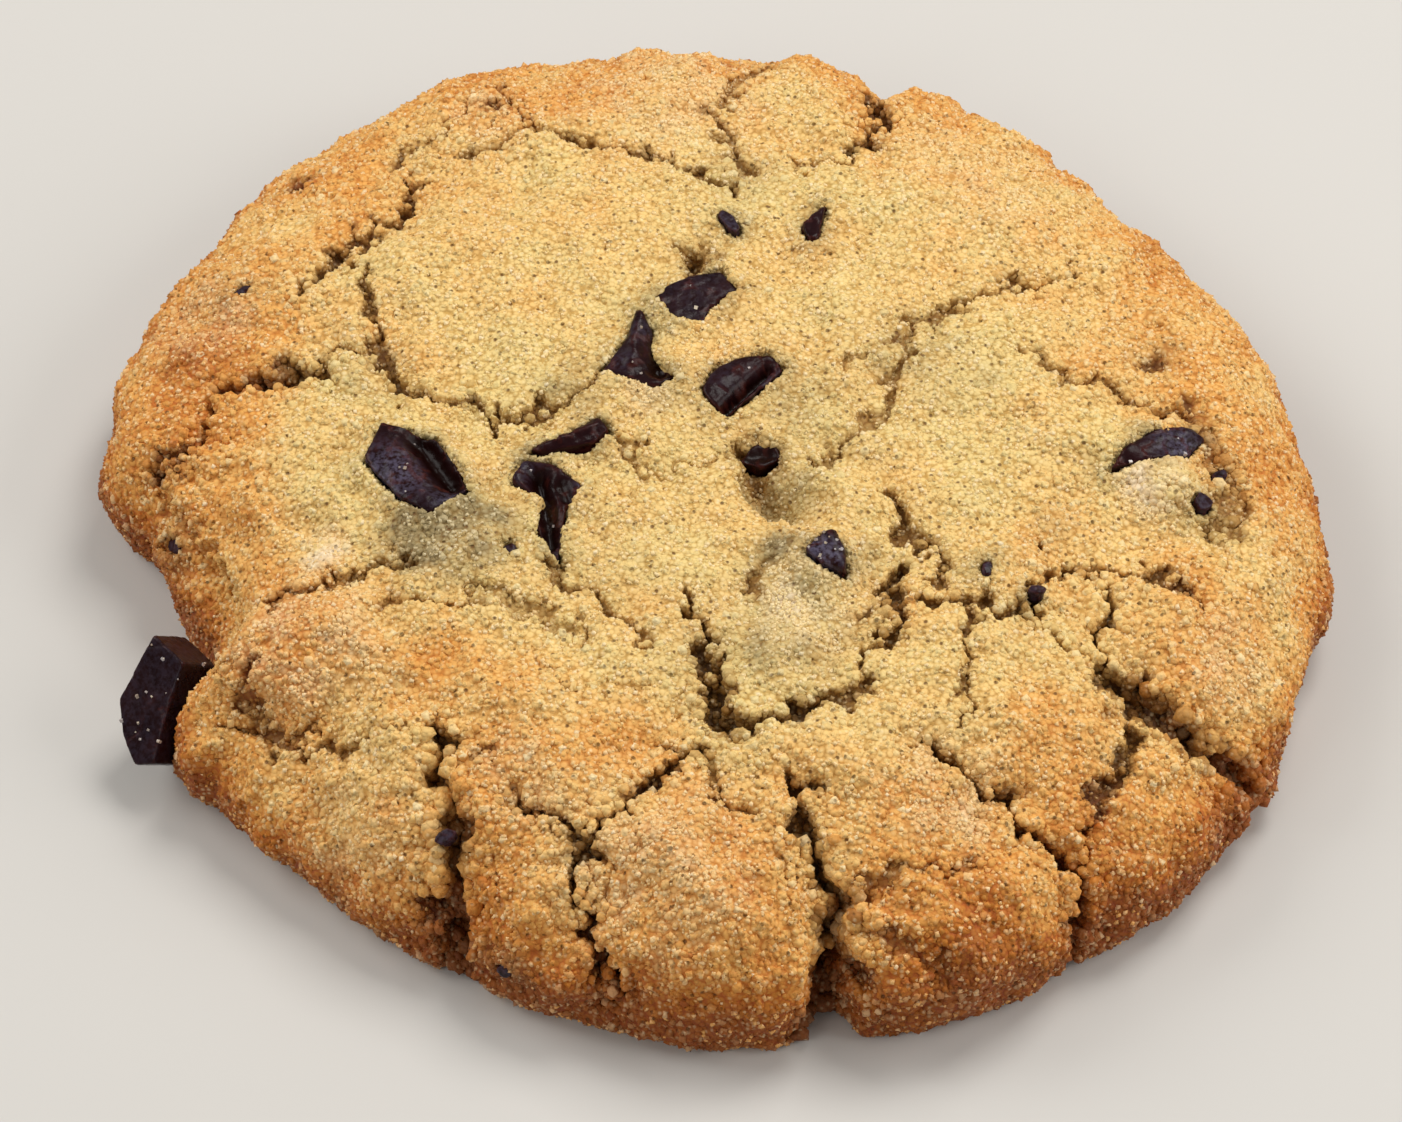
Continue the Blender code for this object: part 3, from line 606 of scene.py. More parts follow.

# %% [markdown]
# ## Where the crust is browned, stained, frosted and shaded
# Browning follows height and nearness to the rim, and on the side walls it holds painted
# shade as well. Dough beside chocolate turns grey-olive from its fat, and sugar leaves a pale
# frost. The grey also lies in sunken places as painted shade, a painted highlight lies along
# the near bottom edge with the frost, and cracks and pits carry painted shade. Each is a
# number on every vertex, which the materials read.

# %% Colour masks
TOAST_SPOTS = (  # place u, v, radius and how much browner
    (-29, -19, 6.5, 0.05), (-31, -14, 4, 0.06), (-12, -25, 6, 0.17), (-20, -20, 4, 0.08),
    (-3, -36, 7, 0.02), (19, -21, 6.5, -0.01), (-2, 6, 4, 0.16), (-9, 1.5, 3, 0.12), (-33, 12, 7, 0.12),
    (-38, 3, 6, 0.24), (-15, 33, 7, 0.08), (26, -36, 8, 0.12), (14, -39, 6, 0.12), (-30, -34, 9, -0.2),
    (31, 5, 4, 0.10), (-41, -3, 4, 0.1), (-33, -6, 5, -0.08), (38, -12, 7, -0.08), (31, -32, 6, 0.14),
    (2, -46, 7, 0.06), (16, -38, 4, 0.04),
)
FROST_SPOTS = (  # place u, v, radius and how frosty
    (-4, -36, 6, 0.5), (-29, -19, 5, 0.6), (-28.3, -11.2, 1.9, 2.2), (14.5, -29.5, 4, 0.4),
    (5.6, -15.2, 3, 1.4), (-26, -34, 5, 0.3), (-19, -11, 2.5, 0.4), (-4.6, 1.8, 1.8, 0.6),
    (30.4, -4.6, 2.2, 1.9), (-13, -30, 3, 0.5), (-3, 33, 7, 0.4), (20, 26, 7, 0.25), (34, -18, 3, 0.6),
    (-36, 12, 4, 0.4), (15.6, -31.1, 2, 0.6), (-16, 30, 3, 0.4),
)
# Grey spots, partly stain from the chocolate's fat and partly painted shade in hollows.
STAIN_AND_SHADE_SPOTS = (  # place u, v, radius and how grey
    (-18, -10.5, 4.4, 1.0), (-21, -11, 3.0, 0.9), (5.2, -18.5, 4.0, 0.5), (4.4, -5.4, 2.2, 0.9),
    (9.3, -11.5, 1.8, 0.6), (4.5, -12.5, 2.6, 0.5), (-9.5, 2.2, 2.8, 0.5), (-3.5, 1.9, 2.0, 0.6),
    (14.5, 6, 4.5, 0.3), (23.2, -8.2, 1.6, 0.3), (-22.2, -22.4, 1.2, 0.5), (34, -5.8, 1.8, 0.5),
    (19.6, 4.1, 1.4, 0.35), (-0.9, -19.3, 4.0, 0.2), (-1, 14, 1.8, 0.6), (-24.5, 5, 3, 0.25),
    (1.8, 17.8, 1.8, 0.5), (7.3, 17.4, 1.9, 0.5), (5.0, -11.2, 1.6, 0.9), (6.1, 1.4, 3.0, 0.45),
    (6.2, -15.0, 2.6, 0.35), (32.4, 8, 2, 0.3), (2, 24, 3, 0.35),
)
BASE_TOAST = 0.12
RIM_TOAST = 0.29
# Browning of the side walls, darker than baking alone, as painted shade.
WALL_TOAST_AND_SHADE = 0.74


def colour_masks(u, v):
    """What the materials and the loose grains depend on, mostly from 0 to 1."""
    distance = np.hypot(u, v)
    _, shade, lip, fissure = crack_cut(u, v)
    toast_and_shade = BASE_TOAST + RIM_TOAST * smooth_step((distance - 22) / 18) + spots(u, v, TOAST_SPOTS)
    toast_and_shade += 0.12 * lumps(u, v, 6.0, 3.3) + 0.05 * lumps(u, v, 2.2, 6.1)
    # The side walls turn browner; part of this darkening is painted shade.
    toast_and_shade += WALL_TOAST_AND_SHADE * smooth_step((distance - 41) / 9)
    apart = chocolate_distance(u, v)
    fat = np.exp(-((np.maximum(apart, 0) / 1.3) ** 1.3)) * (0.3 + 0.4 * lumps(u, v, 2.4, 8.2))
    fatty = spots(u, v, STAIN_AND_SHADE_SPOTS) * (0.9 + 0.5 * lumps(u, v, 2.0, 9.9))
    # Sunken places and the low side of the sunken edge are greyed as painted shade; the rest is stain from
    # fat.
    valley_shade = smooth_step(-spots(u, v, PLATES) / 1.6 + 0.1) * smooth_step((30 - distance) / 12)
    sunken = STEPS["sunken edge"]
    stain_and_shade = np.maximum.reduce([fat, fatty, 0.45 * valley_shade, step_drop(u, v, [sunken]) / sunken[0]])
    frost_and_glint = spots(u, v, FROST_SPOTS) * (0.8 + 0.5 * lumps(u, v, 1.8, 12.4))
    # Along the near bottom edge a pale band is a painted highlight, the glints of light on the sugar there.
    near_edge_glint = smooth_step((-v - 25) / 15) * smooth_step((14 - u) / 10)
    frost_and_glint += 0.9 * smooth_step((distance - 49.5) / 1.5) * near_edge_glint
    stain_and_shade = stain_and_shade * (1 - 0.7 * np.clip(frost_and_glint, 0, 1))
    return {
        "toast_and_shade": np.clip(toast_and_shade, 0, 1),
        # painted shade in cracks and pits
        "crack": np.clip(shade, 0, 1),
        "stain_and_shade": np.clip(stain_and_shade, 0, 1),
        "frost_and_glint": np.clip(frost_and_glint, 0, 2.4),
        "lip": np.clip(lip, 0, 1),
        "fissure": np.clip(fissure, 0, 1),
        "open": smooth_step(apart / 0.2 + 0.5),
        "ragged": np.exp(-(((apart - 0.25) / 0.3) ** 2)),
    }


map_u = get_attribute(crust.data, "map_u")
map_v = get_attribute(crust.data, "map_v")
for mask_name, mask_values in colour_masks(map_u, map_v).items():
    set_attribute(crust.data, mask_name, mask_values)
    print(mask_name, "mean", round(float(mask_values.mean()), 2))

# %% [markdown]
# ## Helpers for finishes
# A finish is a small graph of nodes, and a short call for each kind of node keeps it
# readable. Colours are given in screen values, and a shader works in linear ones.

# %% Node helpers
def screen(red, green, blue):
    """Linear colour for a colour picked in screen values from 0 to 255."""
    linear = [((c / 255 + 0.055) / 1.055) ** 2.4 if c > 10 else c / 3294.6 for c in (red, green, blue)]
    return (*linear, 1.0)


class Graph:
    """A node tree, with a short call for each kind of node that the finishes use."""

    def __init__(self, tree):
        self.tree = tree

    def fill(self, node, inputs):
        """Set a node's inputs; a socket as a value is linked."""
        for key, value in inputs.items():
            if isinstance(value, bpy.types.NodeSocket):
                self.tree.links.new(value, node.inputs[key])
            else:
                node.inputs[key].default_value = value

    def add(self, kind, inputs=None, **settings):
        """Add a node, then set its properties and its inputs."""
        node = self.tree.nodes.new(kind)
        for key, value in settings.items():
            setattr(node, key, value)
        self.fill(node, inputs or {})
        return node

    def maths(self, operation, first, second, clamp=False):
        """Two values added, subtracted or multiplied."""
        node = self.add("ShaderNodeMath", {0: first, 1: second}, operation=operation, use_clamp=clamp)
        return node.outputs[0]

    def times(self, first, second):
        """Two values multiplied."""
        return self.maths("MULTIPLY", first, second)

    def over(self, colour, cover, amount, top, blend="MIX"):
        """A colour with another laid over it, by a mask times an amount."""
        share = self.maths("MULTIPLY", cover, amount, clamp=True)
        node = self.add("ShaderNodeMix", {0: share, 6: colour, 7: top}, data_type="RGBA",
                        blend_type=blend)
        return node.outputs[2]

    def mask(self, name):
        """A vertex attribute's number."""
        return self.add("ShaderNodeAttribute", attribute_name=name).outputs["Fac"]

    def between(self, value, low, high):
        """The value's place between two limits, from 0 to 1."""
        node = self.add("ShaderNodeMapRange", {0: value, 1: low, 2: high, 3: 0.0, 4: 1.0})
        return node.outputs[0]

    def ramp(self, value, *stops):
        """A colour ramp; stops are (place, colour)."""
        node = self.add("ShaderNodeValToRGB", {0: value})
        points = node.color_ramp.elements
        while len(points) < len(stops):
            points.new(0.5)
        for point, (place, colour) in zip(points, stops):
            point.position = place
            point.color = colour
        return node.outputs[0]

    def place(self):
        """The place on the piece, in metres."""
        return self.add("ShaderNodeTexCoord").outputs["Object"]

    def cloud(self, place, scale, detail, roughness):
        """Soft noise."""
        inputs = {"Vector": place, "Scale": scale, "Detail": detail, "Roughness": roughness}
        return self.add("ShaderNodeTexNoise", inputs).outputs[0]

    def cells(self, place, scale):
        """Distance from the middle of each cell, and the red and green of its random colour."""
        node = self.add("ShaderNodeTexVoronoi", {"Vector": place, "Scale": scale}, feature="F1")
        colour = self.add("ShaderNodeSeparateColor", {0: node.outputs["Color"]}).outputs
        return node.outputs["Distance"], colour[0], colour[1]

    def relief(self, height, strength, depth):
        """A bumpy normal."""
        inputs = {"Strength": strength, "Distance": depth, "Height": height}
        return self.add("ShaderNodeBump", inputs).outputs[0]


def new_finish(name):
    """An empty Principled material."""
    finish = bpy.data.materials.new(name)
    finish.use_nodes = True
    return finish, Graph(finish.node_tree), finish.node_tree.nodes["Principled BSDF"]


print("cream dough in linear values:", [round(c, 3) for c in screen(240, 204, 134)[:3]])

# %% [markdown]
# ## Sugar grain, a shared effect
# The dough and its loose crumbs have the same grain, so it is one node group. Cells give a
# height like packed grains and a mask for painted shade in the gaps between them, and some
# cells are picked out for a painted highlight on sugar. A sparse second pattern of small dots
# gives the pores, which the finishes darken with painted shade.

# %% Sugar grain group
GRAIN_CELLS = 2600.0
PORE_CELLS = 1500.0


def make_grain_group():
    """A node group with grain height, painted glint, painted gap shade, pores for painted shade and broad
    patches.
    """
    group = bpy.data.node_groups.new("sugar grain", "ShaderNodeTree")
    group.interface.new_socket("Position", in_out="INPUT", socket_type="NodeSocketVector")
    for name in ("Height", "Bright", "Gap shade", "Pore", "Patch"):
        group.interface.new_socket(name, in_out="OUTPUT", socket_type="NodeSocketFloat")
    graph = Graph(group)
    start = graph.add("NodeGroupInput").outputs[0]
    distance, luck, tall = graph.cells(start, GRAIN_CELLS)
    round_top = graph.maths("SUBTRACT", 1.0, graph.times(distance, distance))
    pore_distance, _, pick = graph.cells(start, PORE_CELLS)
    dot = graph.between(pore_distance, 0.25, 0.1)
    graph.add("NodeGroupOutput", {
        "Height": graph.maths("ADD", round_top, graph.times(tall, 0.5)),
        "Bright": graph.times(graph.between(luck, 0.5, 0.95), graph.between(distance, 0.5, 0.1)),
        "Gap shade": graph.between(distance, 0.42, 0.78),
        "Pore": graph.times(dot, graph.between(pick, 0.25, 0.5)),
        "Patch": graph.cloud(start, 420.0, 2.0, 0.65),
    })
    return group


GRAIN = make_grain_group()
print("grain cells are", 1000 / GRAIN_CELLS, "mm across")

# %% [markdown]
# ## Baked dough
# The base colour starts with the browning on a ramp from cream to brown, which on the side
# walls holds painted shade too. Frost, stain and cracks are laid over it in turn, then pale
# and amber grains, painted shade in the gaps between grains, a painted highlight on some
# grains, and painted shade in the pores. Frost holds a painted highlight along the near bottom
# edge, and stain holds painted shade in sunken places. Cracks are darkened with painted shade,
# olive in the pale middle and red-brown at the rim, where the dough is thin and baked through.

# %% Baked dough finish
TOAST_RAMP = (
    (0.0, screen(234, 208, 138)), (0.25, screen(239, 199, 124)), (0.5, screen(231, 169, 84)),
    (0.75, screen(196, 118, 30)), (1.0, screen(152, 80, 12)),
)
# Pale frost, also used as a painted highlight along the near bottom edge.
FROST_AND_GLINT = screen(246, 222, 184)
# Grey of the stain, also used as painted shade in sunken places.
STAINED_AND_SHADED = screen(132, 116, 80)
# Crack colours, in the middle and at the rim: torn dough with painted shade, then darker painted shade in
# the depths.
TORN_AND_SHADED = screen(156, 112, 44), screen(150, 84, 22)  # in the middle, then at the rim
DEEP_CRACK_SHADE = screen(78, 50, 14), screen(70, 28, 6)
# Amber for darker grains, and for painted shade in the gaps between grains, warm as light through sugar.
AMBER_TONE_AND_GAP_SHADE = screen(206, 182, 128), screen(226, 178, 104)
CLEAR_GRAIN = screen(255, 236, 192)
# Painted highlight on some sugar grains.
PAINTED_GLINT = screen(255, 236, 190)
# Painted shade in pores too small to model.
PORE_SHADE = screen(116, 72, 26)
GRAIN_DEPTH = 0.00014


def make_dough_finish(name, deeper, gap_shade_amount, pore_amount):
    """The finish of the crust, deeper in colour and with stronger painted shade in the gaps, or of its
    crumbs.
    """
    finish, graph, shader = new_finish(name)
    toast_and_shade, crack, stain_and_shade, frost_and_glint, tint = map(graph.mask, ("toast_and_shade", "crack", "stain_and_shade", "frost_and_glint", "tint"))
    grain = graph.add("ShaderNodeGroup", {0: graph.place()}, node_tree=GRAIN)
    height, glint, gap_shade, pore, patch = grain.outputs
    drift = graph.maths("ADD", graph.times(patch, 0.2), deeper - 0.1)
    browned = graph.maths("ADD", toast_and_shade, drift)
    browned = graph.maths("ADD", browned, graph.times(tint, -0.05), clamp=True)
    # The browning ramp; on the side walls it holds painted shade too.
    colour = graph.ramp(browned, *TOAST_RAMP)
    # Frost, and the painted highlight along the near bottom edge.
    colour = graph.over(colour, graph.times(frost_and_glint, graph.between(patch, 0.3, 0.6)), 0.62, FROST_AND_GLINT)
    # Stain, with painted shade in sunken places.
    colour = graph.over(colour, graph.times(stain_and_shade, graph.between(patch, 0.0, 0.5)), 0.85, STAINED_AND_SHADED)
    rim_there = graph.between(toast_and_shade, 0.25, 0.6)
    torn, deep_crack_shade, amber_tone_and_gap_shade = (graph.over(middle, rim_there, 1.0, rim) for middle, rim in (TORN_AND_SHADED, DEEP_CRACK_SHADE, AMBER_TONE_AND_GAP_SHADE))
    # Cracks are darkened with painted shade, most in the middle of each crack.
    colour = graph.over(colour, graph.between(crack, 0.0, 0.5), 1.0, torn)
    colour = graph.over(colour, graph.between(crack, 0.4, 1.15), 1.0, deep_crack_shade)
    amber = graph.over(colour, 1.0, 1.0, amber_tone_and_gap_shade, "MULTIPLY")
    colour = graph.over(colour, graph.between(tint, -0.4, -2.4), 0.55, amber)
    # Painted shade in the gaps between grains, amber as light through sugar.
    colour = graph.over(colour, gap_shade, gap_shade_amount, amber)
    clear = graph.times(graph.between(tint, 0.5, 3.0), graph.maths("SUBTRACT", 1.0, crack))
    colour = graph.over(colour, clear, 0.5, CLEAR_GRAIN)
    # A painted highlight on some grains, which are also glossier.
    colour = graph.over(colour, glint, 0.4, PAINTED_GLINT)
    # Pores are darkened with painted shade and sink the bump a little.
    colour = graph.over(colour, pore, pore_amount, PORE_SHADE)
    sunk = graph.maths("SUBTRACT", height, graph.times(pore, 1.6 * pore_amount))
    graph.fill(shader, {
        "Base Color": colour,
        "Roughness": graph.maths("SUBTRACT", 0.66, graph.times(glint, 0.3)),
        "Normal": graph.relief(sunk, 0.8, GRAIN_DEPTH),
        "Specular IOR Level": 0.4,
    })
    return finish


DOUGH_FINISH = make_dough_finish("baked dough", 0.06, 0.8, 0.9)
CRUMB_FINISH = make_dough_finish("dough crumbs", -0.01, 0.15, 0.65)
crust.data.materials.clear()
crust.data.materials.append(DOUGH_FINISH)
set_attribute(crust.data, "tint", np.zeros(len(crust.data.vertices)))
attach(crust, "root")
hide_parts("dough")
print("dough finish nodes:", len(DOUGH_FINISH.node_tree.nodes))

# %% [markdown]
# ## Dark chocolate
# Dark chocolate is nearly black with a little red, and looks lighter where it shines. A skin
# of bloom breaks up the gloss, so the roughness drifts, and shallow dents give it a broken
# face. Painted light is laid into the colour as well: a painted highlight along sharp upper
# edges, reddish like thin chocolate, painted shade in hollows, and bluish spots that are
# partly bloom and partly painted sheen.

# %% Chocolate finish
def make_chocolate_finish():
    """Semi-gloss dark chocolate, with painted shade in hollows, a painted highlight on edges and spots of
    bloom and painted sheen.
    """
    finish, graph, shader = new_finish("dark chocolate")
    place = graph.place()
    broad = graph.cloud(place, 450.0, 3.0, 0.6)
    fine = graph.cloud(place, 2600.0, 2.0, 0.7)
    colour = graph.ramp(broad, (0.3, screen(20, 4, 7)), (0.55, screen(32, 8, 11)),
                        (0.8, screen(44, 15, 20)))
    # Bluish spots, partly bloom and partly painted sheen.
    bloom_and_sheen = graph.times(graph.mask("bloom_and_sheen"), graph.between(fine, 0.38, 0.62))
    colour = graph.over(colour, bloom_and_sheen, 0.6, screen(100, 94, 116))
    # Painted shade in hollows, dark red like melted chocolate.
    colour = graph.over(colour, graph.mask("hollow_shade"), 1.0, screen(22, 4, 2))
    # A painted highlight along sharp upper edges, reddish like thin chocolate.
    colour = graph.over(colour, graph.mask("edge"), 0.4, screen(86, 38, 30))
    height = graph.maths("ADD", broad, graph.times(fine, 0.35))
    graph.fill(shader, {
        "Base Color": colour,
        "Roughness": graph.maths("ADD", 0.14, graph.times(broad, 0.32)),
        "Normal": graph.relief(height, 0.5, 0.00018),
        "Specular IOR Level": 0.12,
    })
    return finish


CHOCOLATE_FINISH = make_chocolate_finish()
print("chocolate finish nodes:", len(CHOCOLATE_FINISH.node_tree.nodes))

# %% [markdown]
# ## Modelling a chunk
# A chunk starts as one face over its outline. It is extruded down, bevelled, cut finely
# enough to take dents and a ridge or a hollow, and last wrapped onto the crust.

# %% Chunk builder
CHUNK_DEPTH = 3.2
CHUNK_TAPER = 0.78
CHUNK_BEVEL = 0.24
CHUNK_CHIPS = (0.3, 1.5)  # depth and size of the chips that wear a chunk's faces
CREASE_REACH = 1.4  # how far below the top a crease still pushes
SHARP = 0.4  # the turn in radians from which an edge is bare
FINE_EDGE = 0.27
noise.seed_set(7)  # noise_vector, which tilts the chips, is random otherwise


def cut_finely(shape, longest):
    """Subdivide edges until none is much longer than the given length."""
    for _ in range(6):
        long_edges = [edge for edge in shape.edges if edge.calc_length() > longest]
        if not long_edges:
            break
        bmesh.ops.subdivide_edges(shape, edges=long_edges, cuts=1)
        bmesh.ops.triangulate(shape, faces=[face for face in shape.faces if len(face.verts) > 3])


def in_order(shape):
    """The same shape with its parts listed by place, as bevel lists them anew each run."""
    verts = sorted(shape.verts, key=lambda vert: [round(side, 4) for side in vert.co])
    numbers = {vert: index for index, vert in enumerate(verts)}
    faces = []
    for face in shape.faces:
        turn = [numbers[vert] for vert in face.verts]
        start = turn.index(min(turn))
        faces.append(turn[start:] + turn[:start])
    ordered = bmesh.new()
    new_verts = [ordered.verts.new(vert.co) for vert in verts]
    for turn in sorted(faces):
        ordered.faces.new([new_verts[index] for index in turn])
    shape.free()
    return ordered


def block_shape(corners, bottom, top, taper, bevel):
    """A bevelled block over an outline, with fine faces."""
    shape = bmesh.new()
    middle = Vector((*np.mean(corners, axis=0), 0.0))
    loop = [shape.verts.new((x, y, top)) for x, y in corners]
    face = shape.faces.new(loop)
    lower = bmesh.ops.extrude_face_region(shape, geom=[face])["geom"]
    for vert in lower:
        if isinstance(vert, bmesh.types.BMVert):
            vert.co = middle + (vert.co - middle) * taper
            vert.co.z = bottom
    bmesh.ops.recalc_face_normals(shape, faces=shape.faces[:])
    bmesh.ops.bevel(shape, geom=shape.edges[:], offset=bevel, segments=2, profile=0.5,
                    affect="EDGES", clamp_overlap=True, material=-1)
    shape = in_order(shape)
    bmesh.ops.triangulate(shape, faces=shape.faces[:])
    cut_finely(shape, FINE_EDGE)
    bmesh.ops.smooth_vert(shape, verts=shape.verts[:], factor=0.5, use_axis_x=True,
                          use_axis_y=True, use_axis_z=True)
    return shape


def facet(place):
    """A height that is flat and tilted within each cell, like broken faces."""
    centre = noise.voronoi(place)[1][0]
    return (place - centre).dot(noise.noise_vector(centre * 3.7))


def wear(shape, amount, size, seed):
    """Break a shape's faces into flat chips, with a little fine roughness."""
    shape.normal_update()
    moves = []
    for vert in shape.verts:
        place = vert.co / size + Vector((seed, seed * 0.7, 0))
        rough = 0.16 * noise.noise(vert.co * 2.2 + Vector((0, seed, 0)))
        moves.append(vert.normal * amount * (facet(place) + rough))
    for vert, move in zip(shape.verts, moves):
        vert.co += move


def push_creases(shape, creases, top):
    """Push the top up or down along lines, and return how hollow each vertex became, which gets painted
    shade.
    """
    hollow_shade = np.zeros(len(shape.verts))
    for start, end, width, push in creases:
        start, end = Vector(start), Vector(end)
        side = end - start
        for index, vert in enumerate(shape.verts):
            if vert.co.z < top - CREASE_REACH:
                continue
            place = vert.co.xy
            share = min(max((place - start).dot(side) / side.length_squared, 0), 1)
            away = (place - start - side * share).length
            near = math.exp(-((away / width) ** 2))
            vert.co.z += push * near
            if push < 0:
                hollow_shade[index] = max(hollow_shade[index], min(1.0, near * 1.2))
    return hollow_shade


def edge_highlight_mask(shape, top):
    """How near each vertex is to a sharp upper edge, from the turn of its faces, for a painted highlight.
    """
    shape.normal_update()
    turns = []
    for vert in shape.verts:
        sharp = max((edge.calc_face_angle(0.0) for edge in vert.link_edges), default=0.0)
        turns.append(min(1.0, max(0.0, sharp - SHARP) / 0.5) if vert.co.z > top - 1.0 else 0.0)
    return np.array(turns)


print("chunk edges are cut to", FINE_EDGE, "mm")

# %% [markdown]
# ## The chunks in the crust
# Most chunks have a form of their own: one split open and is hollow along its middle, one
# has a groove between two slabs, the largest has a hollow beside a slab. Each is a smooth
# push on the top face near a line. Bluish colour lies in spots, partly bloom, the bluish film
# of old chocolate, and partly painted sheen.

# %% Chunks set in the crust
CREASES = {  # line from, line to, width and push of each hollow or ridge
    "chunk_split": (((-12.5, -5.8), (-11.5, -11.4), 0.75, -1.3), ((-10.9, -6.6), (-10.4, -7.8), 0.5, -0.5)),
    "chunk_ridged": (((0.9, 0.5), (4.0, 4.3), 0.4, -1.1), ((0.2, 2.4), (2.6, 4.6), 0.8, 0.15)),
    "chunk_big": (((-20.8, -2.2), (-18.7, -6.2), 1.0, -1.5), ((-23.6, -2.6), (-20.8, -8.0), 1.1, 0.15)),
    "chunk_wedge": (((-4.8, 8.2), (-5.4, 4.4), 0.6, 0.45), ((-3.5, 6.2), (-3.6, 3.8), 0.7, -0.7)),
    "chunk_right": (((29, -2.4), (33.2, -0.4), 0.9, 0.35),),
    "chunk_dusty": (((7.6, -10.9), (8.1, -12.9), 0.7, 0.4),),
    "chunk_sunken": (((2.4, -2.8), (3.8, -2.6), 0.7, -0.4),),
    "chunk_shard": (((-12, -3.3), (-8.2, -1.4), 0.35, 0.3),),
}
# Spots of bluish colour, partly bloom and partly painted sheen.
BLOOM_AND_SHEEN_SPOTS = (  # place u, v, radius and how bluish
    (-22.6, -5.4, 2.6, 0.85), (-18.6, -8.2, 1.4, 0.7), (-13.4, -5.4, 1.2, 0.4), (-9.6, -7.4, 1.0, 0.6),
    (-11.2, -11.6, 1.2, 0.5), (32.2, -1.4, 1.8, 0.7), (33.4, -2.2, 1.2, 0.8), (4.2, 3.2, 1.2, 0.4),
    (6.6, -12.6, 1.5, 1.8), (-4.6, 6.6, 0.9, 0.4), (-6.2, 4.4, 1.0, 0.3), (0.6, 3.4, 1.6, 0.15),
    (-1.0, 10.8, 3.0, 0.15),
)


def set_in_crust(shape):
    """Wrap a block drawn over the map onto the crust."""
    places = np.array([vert.co[:] for vert in shape.verts])
    lift = spots(places[:, 0], places[:, 1], PLATES) + places[:, 2]
    for vert, place in zip(shape.verts, wrap(places[:, 0], places[:, 1], lift)):
        vert.co = Vector(place) * MM


def make_chocolate(name, node, corners, heights, bevel, chips, bloom_and_sheen=None, creases=(),
                   taper=CHUNK_TAPER, set_in_place=set_in_crust):
    """A chocolate piece that stands for its node; chips are their depth, size and seed."""
    bottom, top = heights
    shape = block_shape(corners, bottom, top, taper, bevel)
    hollow_shade = push_creases(shape, creases, top)
    wear(shape, *chips)
    flat_u, flat_v = np.array([vert.co.xy for vert in shape.verts]).T
    if bloom_and_sheen is None:
        bloom_and_sheen = np.clip(spots(flat_u, flat_v, BLOOM_AND_SHEEN_SPOTS), 0, 1)
    # Masks for a painted highlight on edges, painted shade in hollows, and bloom with painted sheen.
    masks = {"edge": edge_highlight_mask(shape, top), "hollow_shade": hollow_shade, "bloom_and_sheen": bloom_and_sheen * (1 - hollow_shade)}
    set_in_place(shape)
    bmesh.ops.recalc_face_normals(shape, faces=shape.faces[:])
    mesh = new_mesh(name, shape)
    mesh.shade_smooth()
    mesh.materials.append(CHOCOLATE_FINISH)
    for mask_name, values in masks.items():
        set_attribute(mesh, mask_name, values)
    piece = link(name, mesh)
    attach(piece, "root")
    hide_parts(node)
    return piece


SUNK = {"chunk_sunken": 0.85, "chunk_dusty": 0.15}  # how much lower a chunk sits in its hole

for seed, (node, (rise, *corners)) in enumerate(CHUNKS.items()):
    heights = (-CHUNK_DEPTH, rise - SUNK.get(node, 0.0))
    make_chocolate(f"chocolate_{node[6:]}", node, corners, heights, CHUNK_BEVEL,
                   (*CHUNK_CHIPS, 3.1 * seed), creases=CREASES.get(node, ()))
print("chunks in the crust:", len(CHUNKS))

# %% [markdown]
# ## Small bits
# The bits are the same chocolate, broken smaller, from uneven six-sided outlines.

# %% Small bits of chocolate
BIT_DEPTH = 1.2
BIT_BEVEL = 0.15
BIT_CHIPS = (0.15, 0.7)
# Bloom with painted sheen on the bits.
BIT_BLOOM_AND_SHEEN = 0.4

for index, bit in enumerate(BITS):
    node = f"bit_{index + 1:02d}"
    make_chocolate(f"chocolate_{node}", node, bit_corners(*bit, index), (-BIT_DEPTH, BIT_RISE), BIT_BEVEL,
                   (*BIT_CHIPS, 5.3 * index), BIT_BLOOM_AND_SHEEN)
print("small bits:", len(BITS))

# %% [markdown]
# ## The block in the side
# One block sticks out of the left side and leans on it. It has flat broken faces, so it is
# cut in its own directions, along its length and out of its face, and only lightly worn.

# %% Block in the side
BLOCK_CORNERS = ((0.1, 4.9), (-2.3, 0.3), (-1.8, -2.2), (-0.6, -4.1), (1.0, -3.9), (2.0, 0.6),
                 (2.8, 3.1))
BLOCK_CENTRE = (-37.7, -17.8, 4.5)
BLOCK_ALONG = (0.08, 0.78, 0.62)
BLOCK_FACING = (-0.49, -0.52, 0.70)
BLOCK_THICKNESS = 3.9
BLOCK_BEVEL = 0.16
BLOCK_CHIPS = (0.14, 2.6)
# Bloom with painted sheen on the block.
BLOCK_BLOOM_AND_SHEEN = 0.15


def set_as_block(shape):
    """Stand a block up against the left side of the dough."""
    along = Vector(BLOCK_ALONG).normalized()
    facing = Vector(BLOCK_FACING)
    facing = (facing - along * facing.dot(along)).normalized()
    across = along.cross(facing)
    for vert in shape.verts:
        place = across * vert.co.x + along * vert.co.y + facing * vert.co.z
        vert.co = (Vector(BLOCK_CENTRE) + place) * MM


half = BLOCK_THICKNESS / 2
block = make_chocolate("chocolate_block", "chunk_block", BLOCK_CORNERS, (-half, half), BLOCK_BEVEL,
                       (*BLOCK_CHIPS, 4.4), BLOCK_BLOOM_AND_SHEEN, taper=1.0, set_in_place=set_as_block)
print("block triangles:", len(block.data.polygons))

# %% [markdown]
# ## Loose grains
# Close up, the crust is a bed of grains. Real grains catch light in a way that bump can't
# show, so they are strewn as true meshes: rounded dough crumbs and glossy sugar. One grain
# is modelled with bmesh, then repeated by array arithmetic into a single joined mesh.

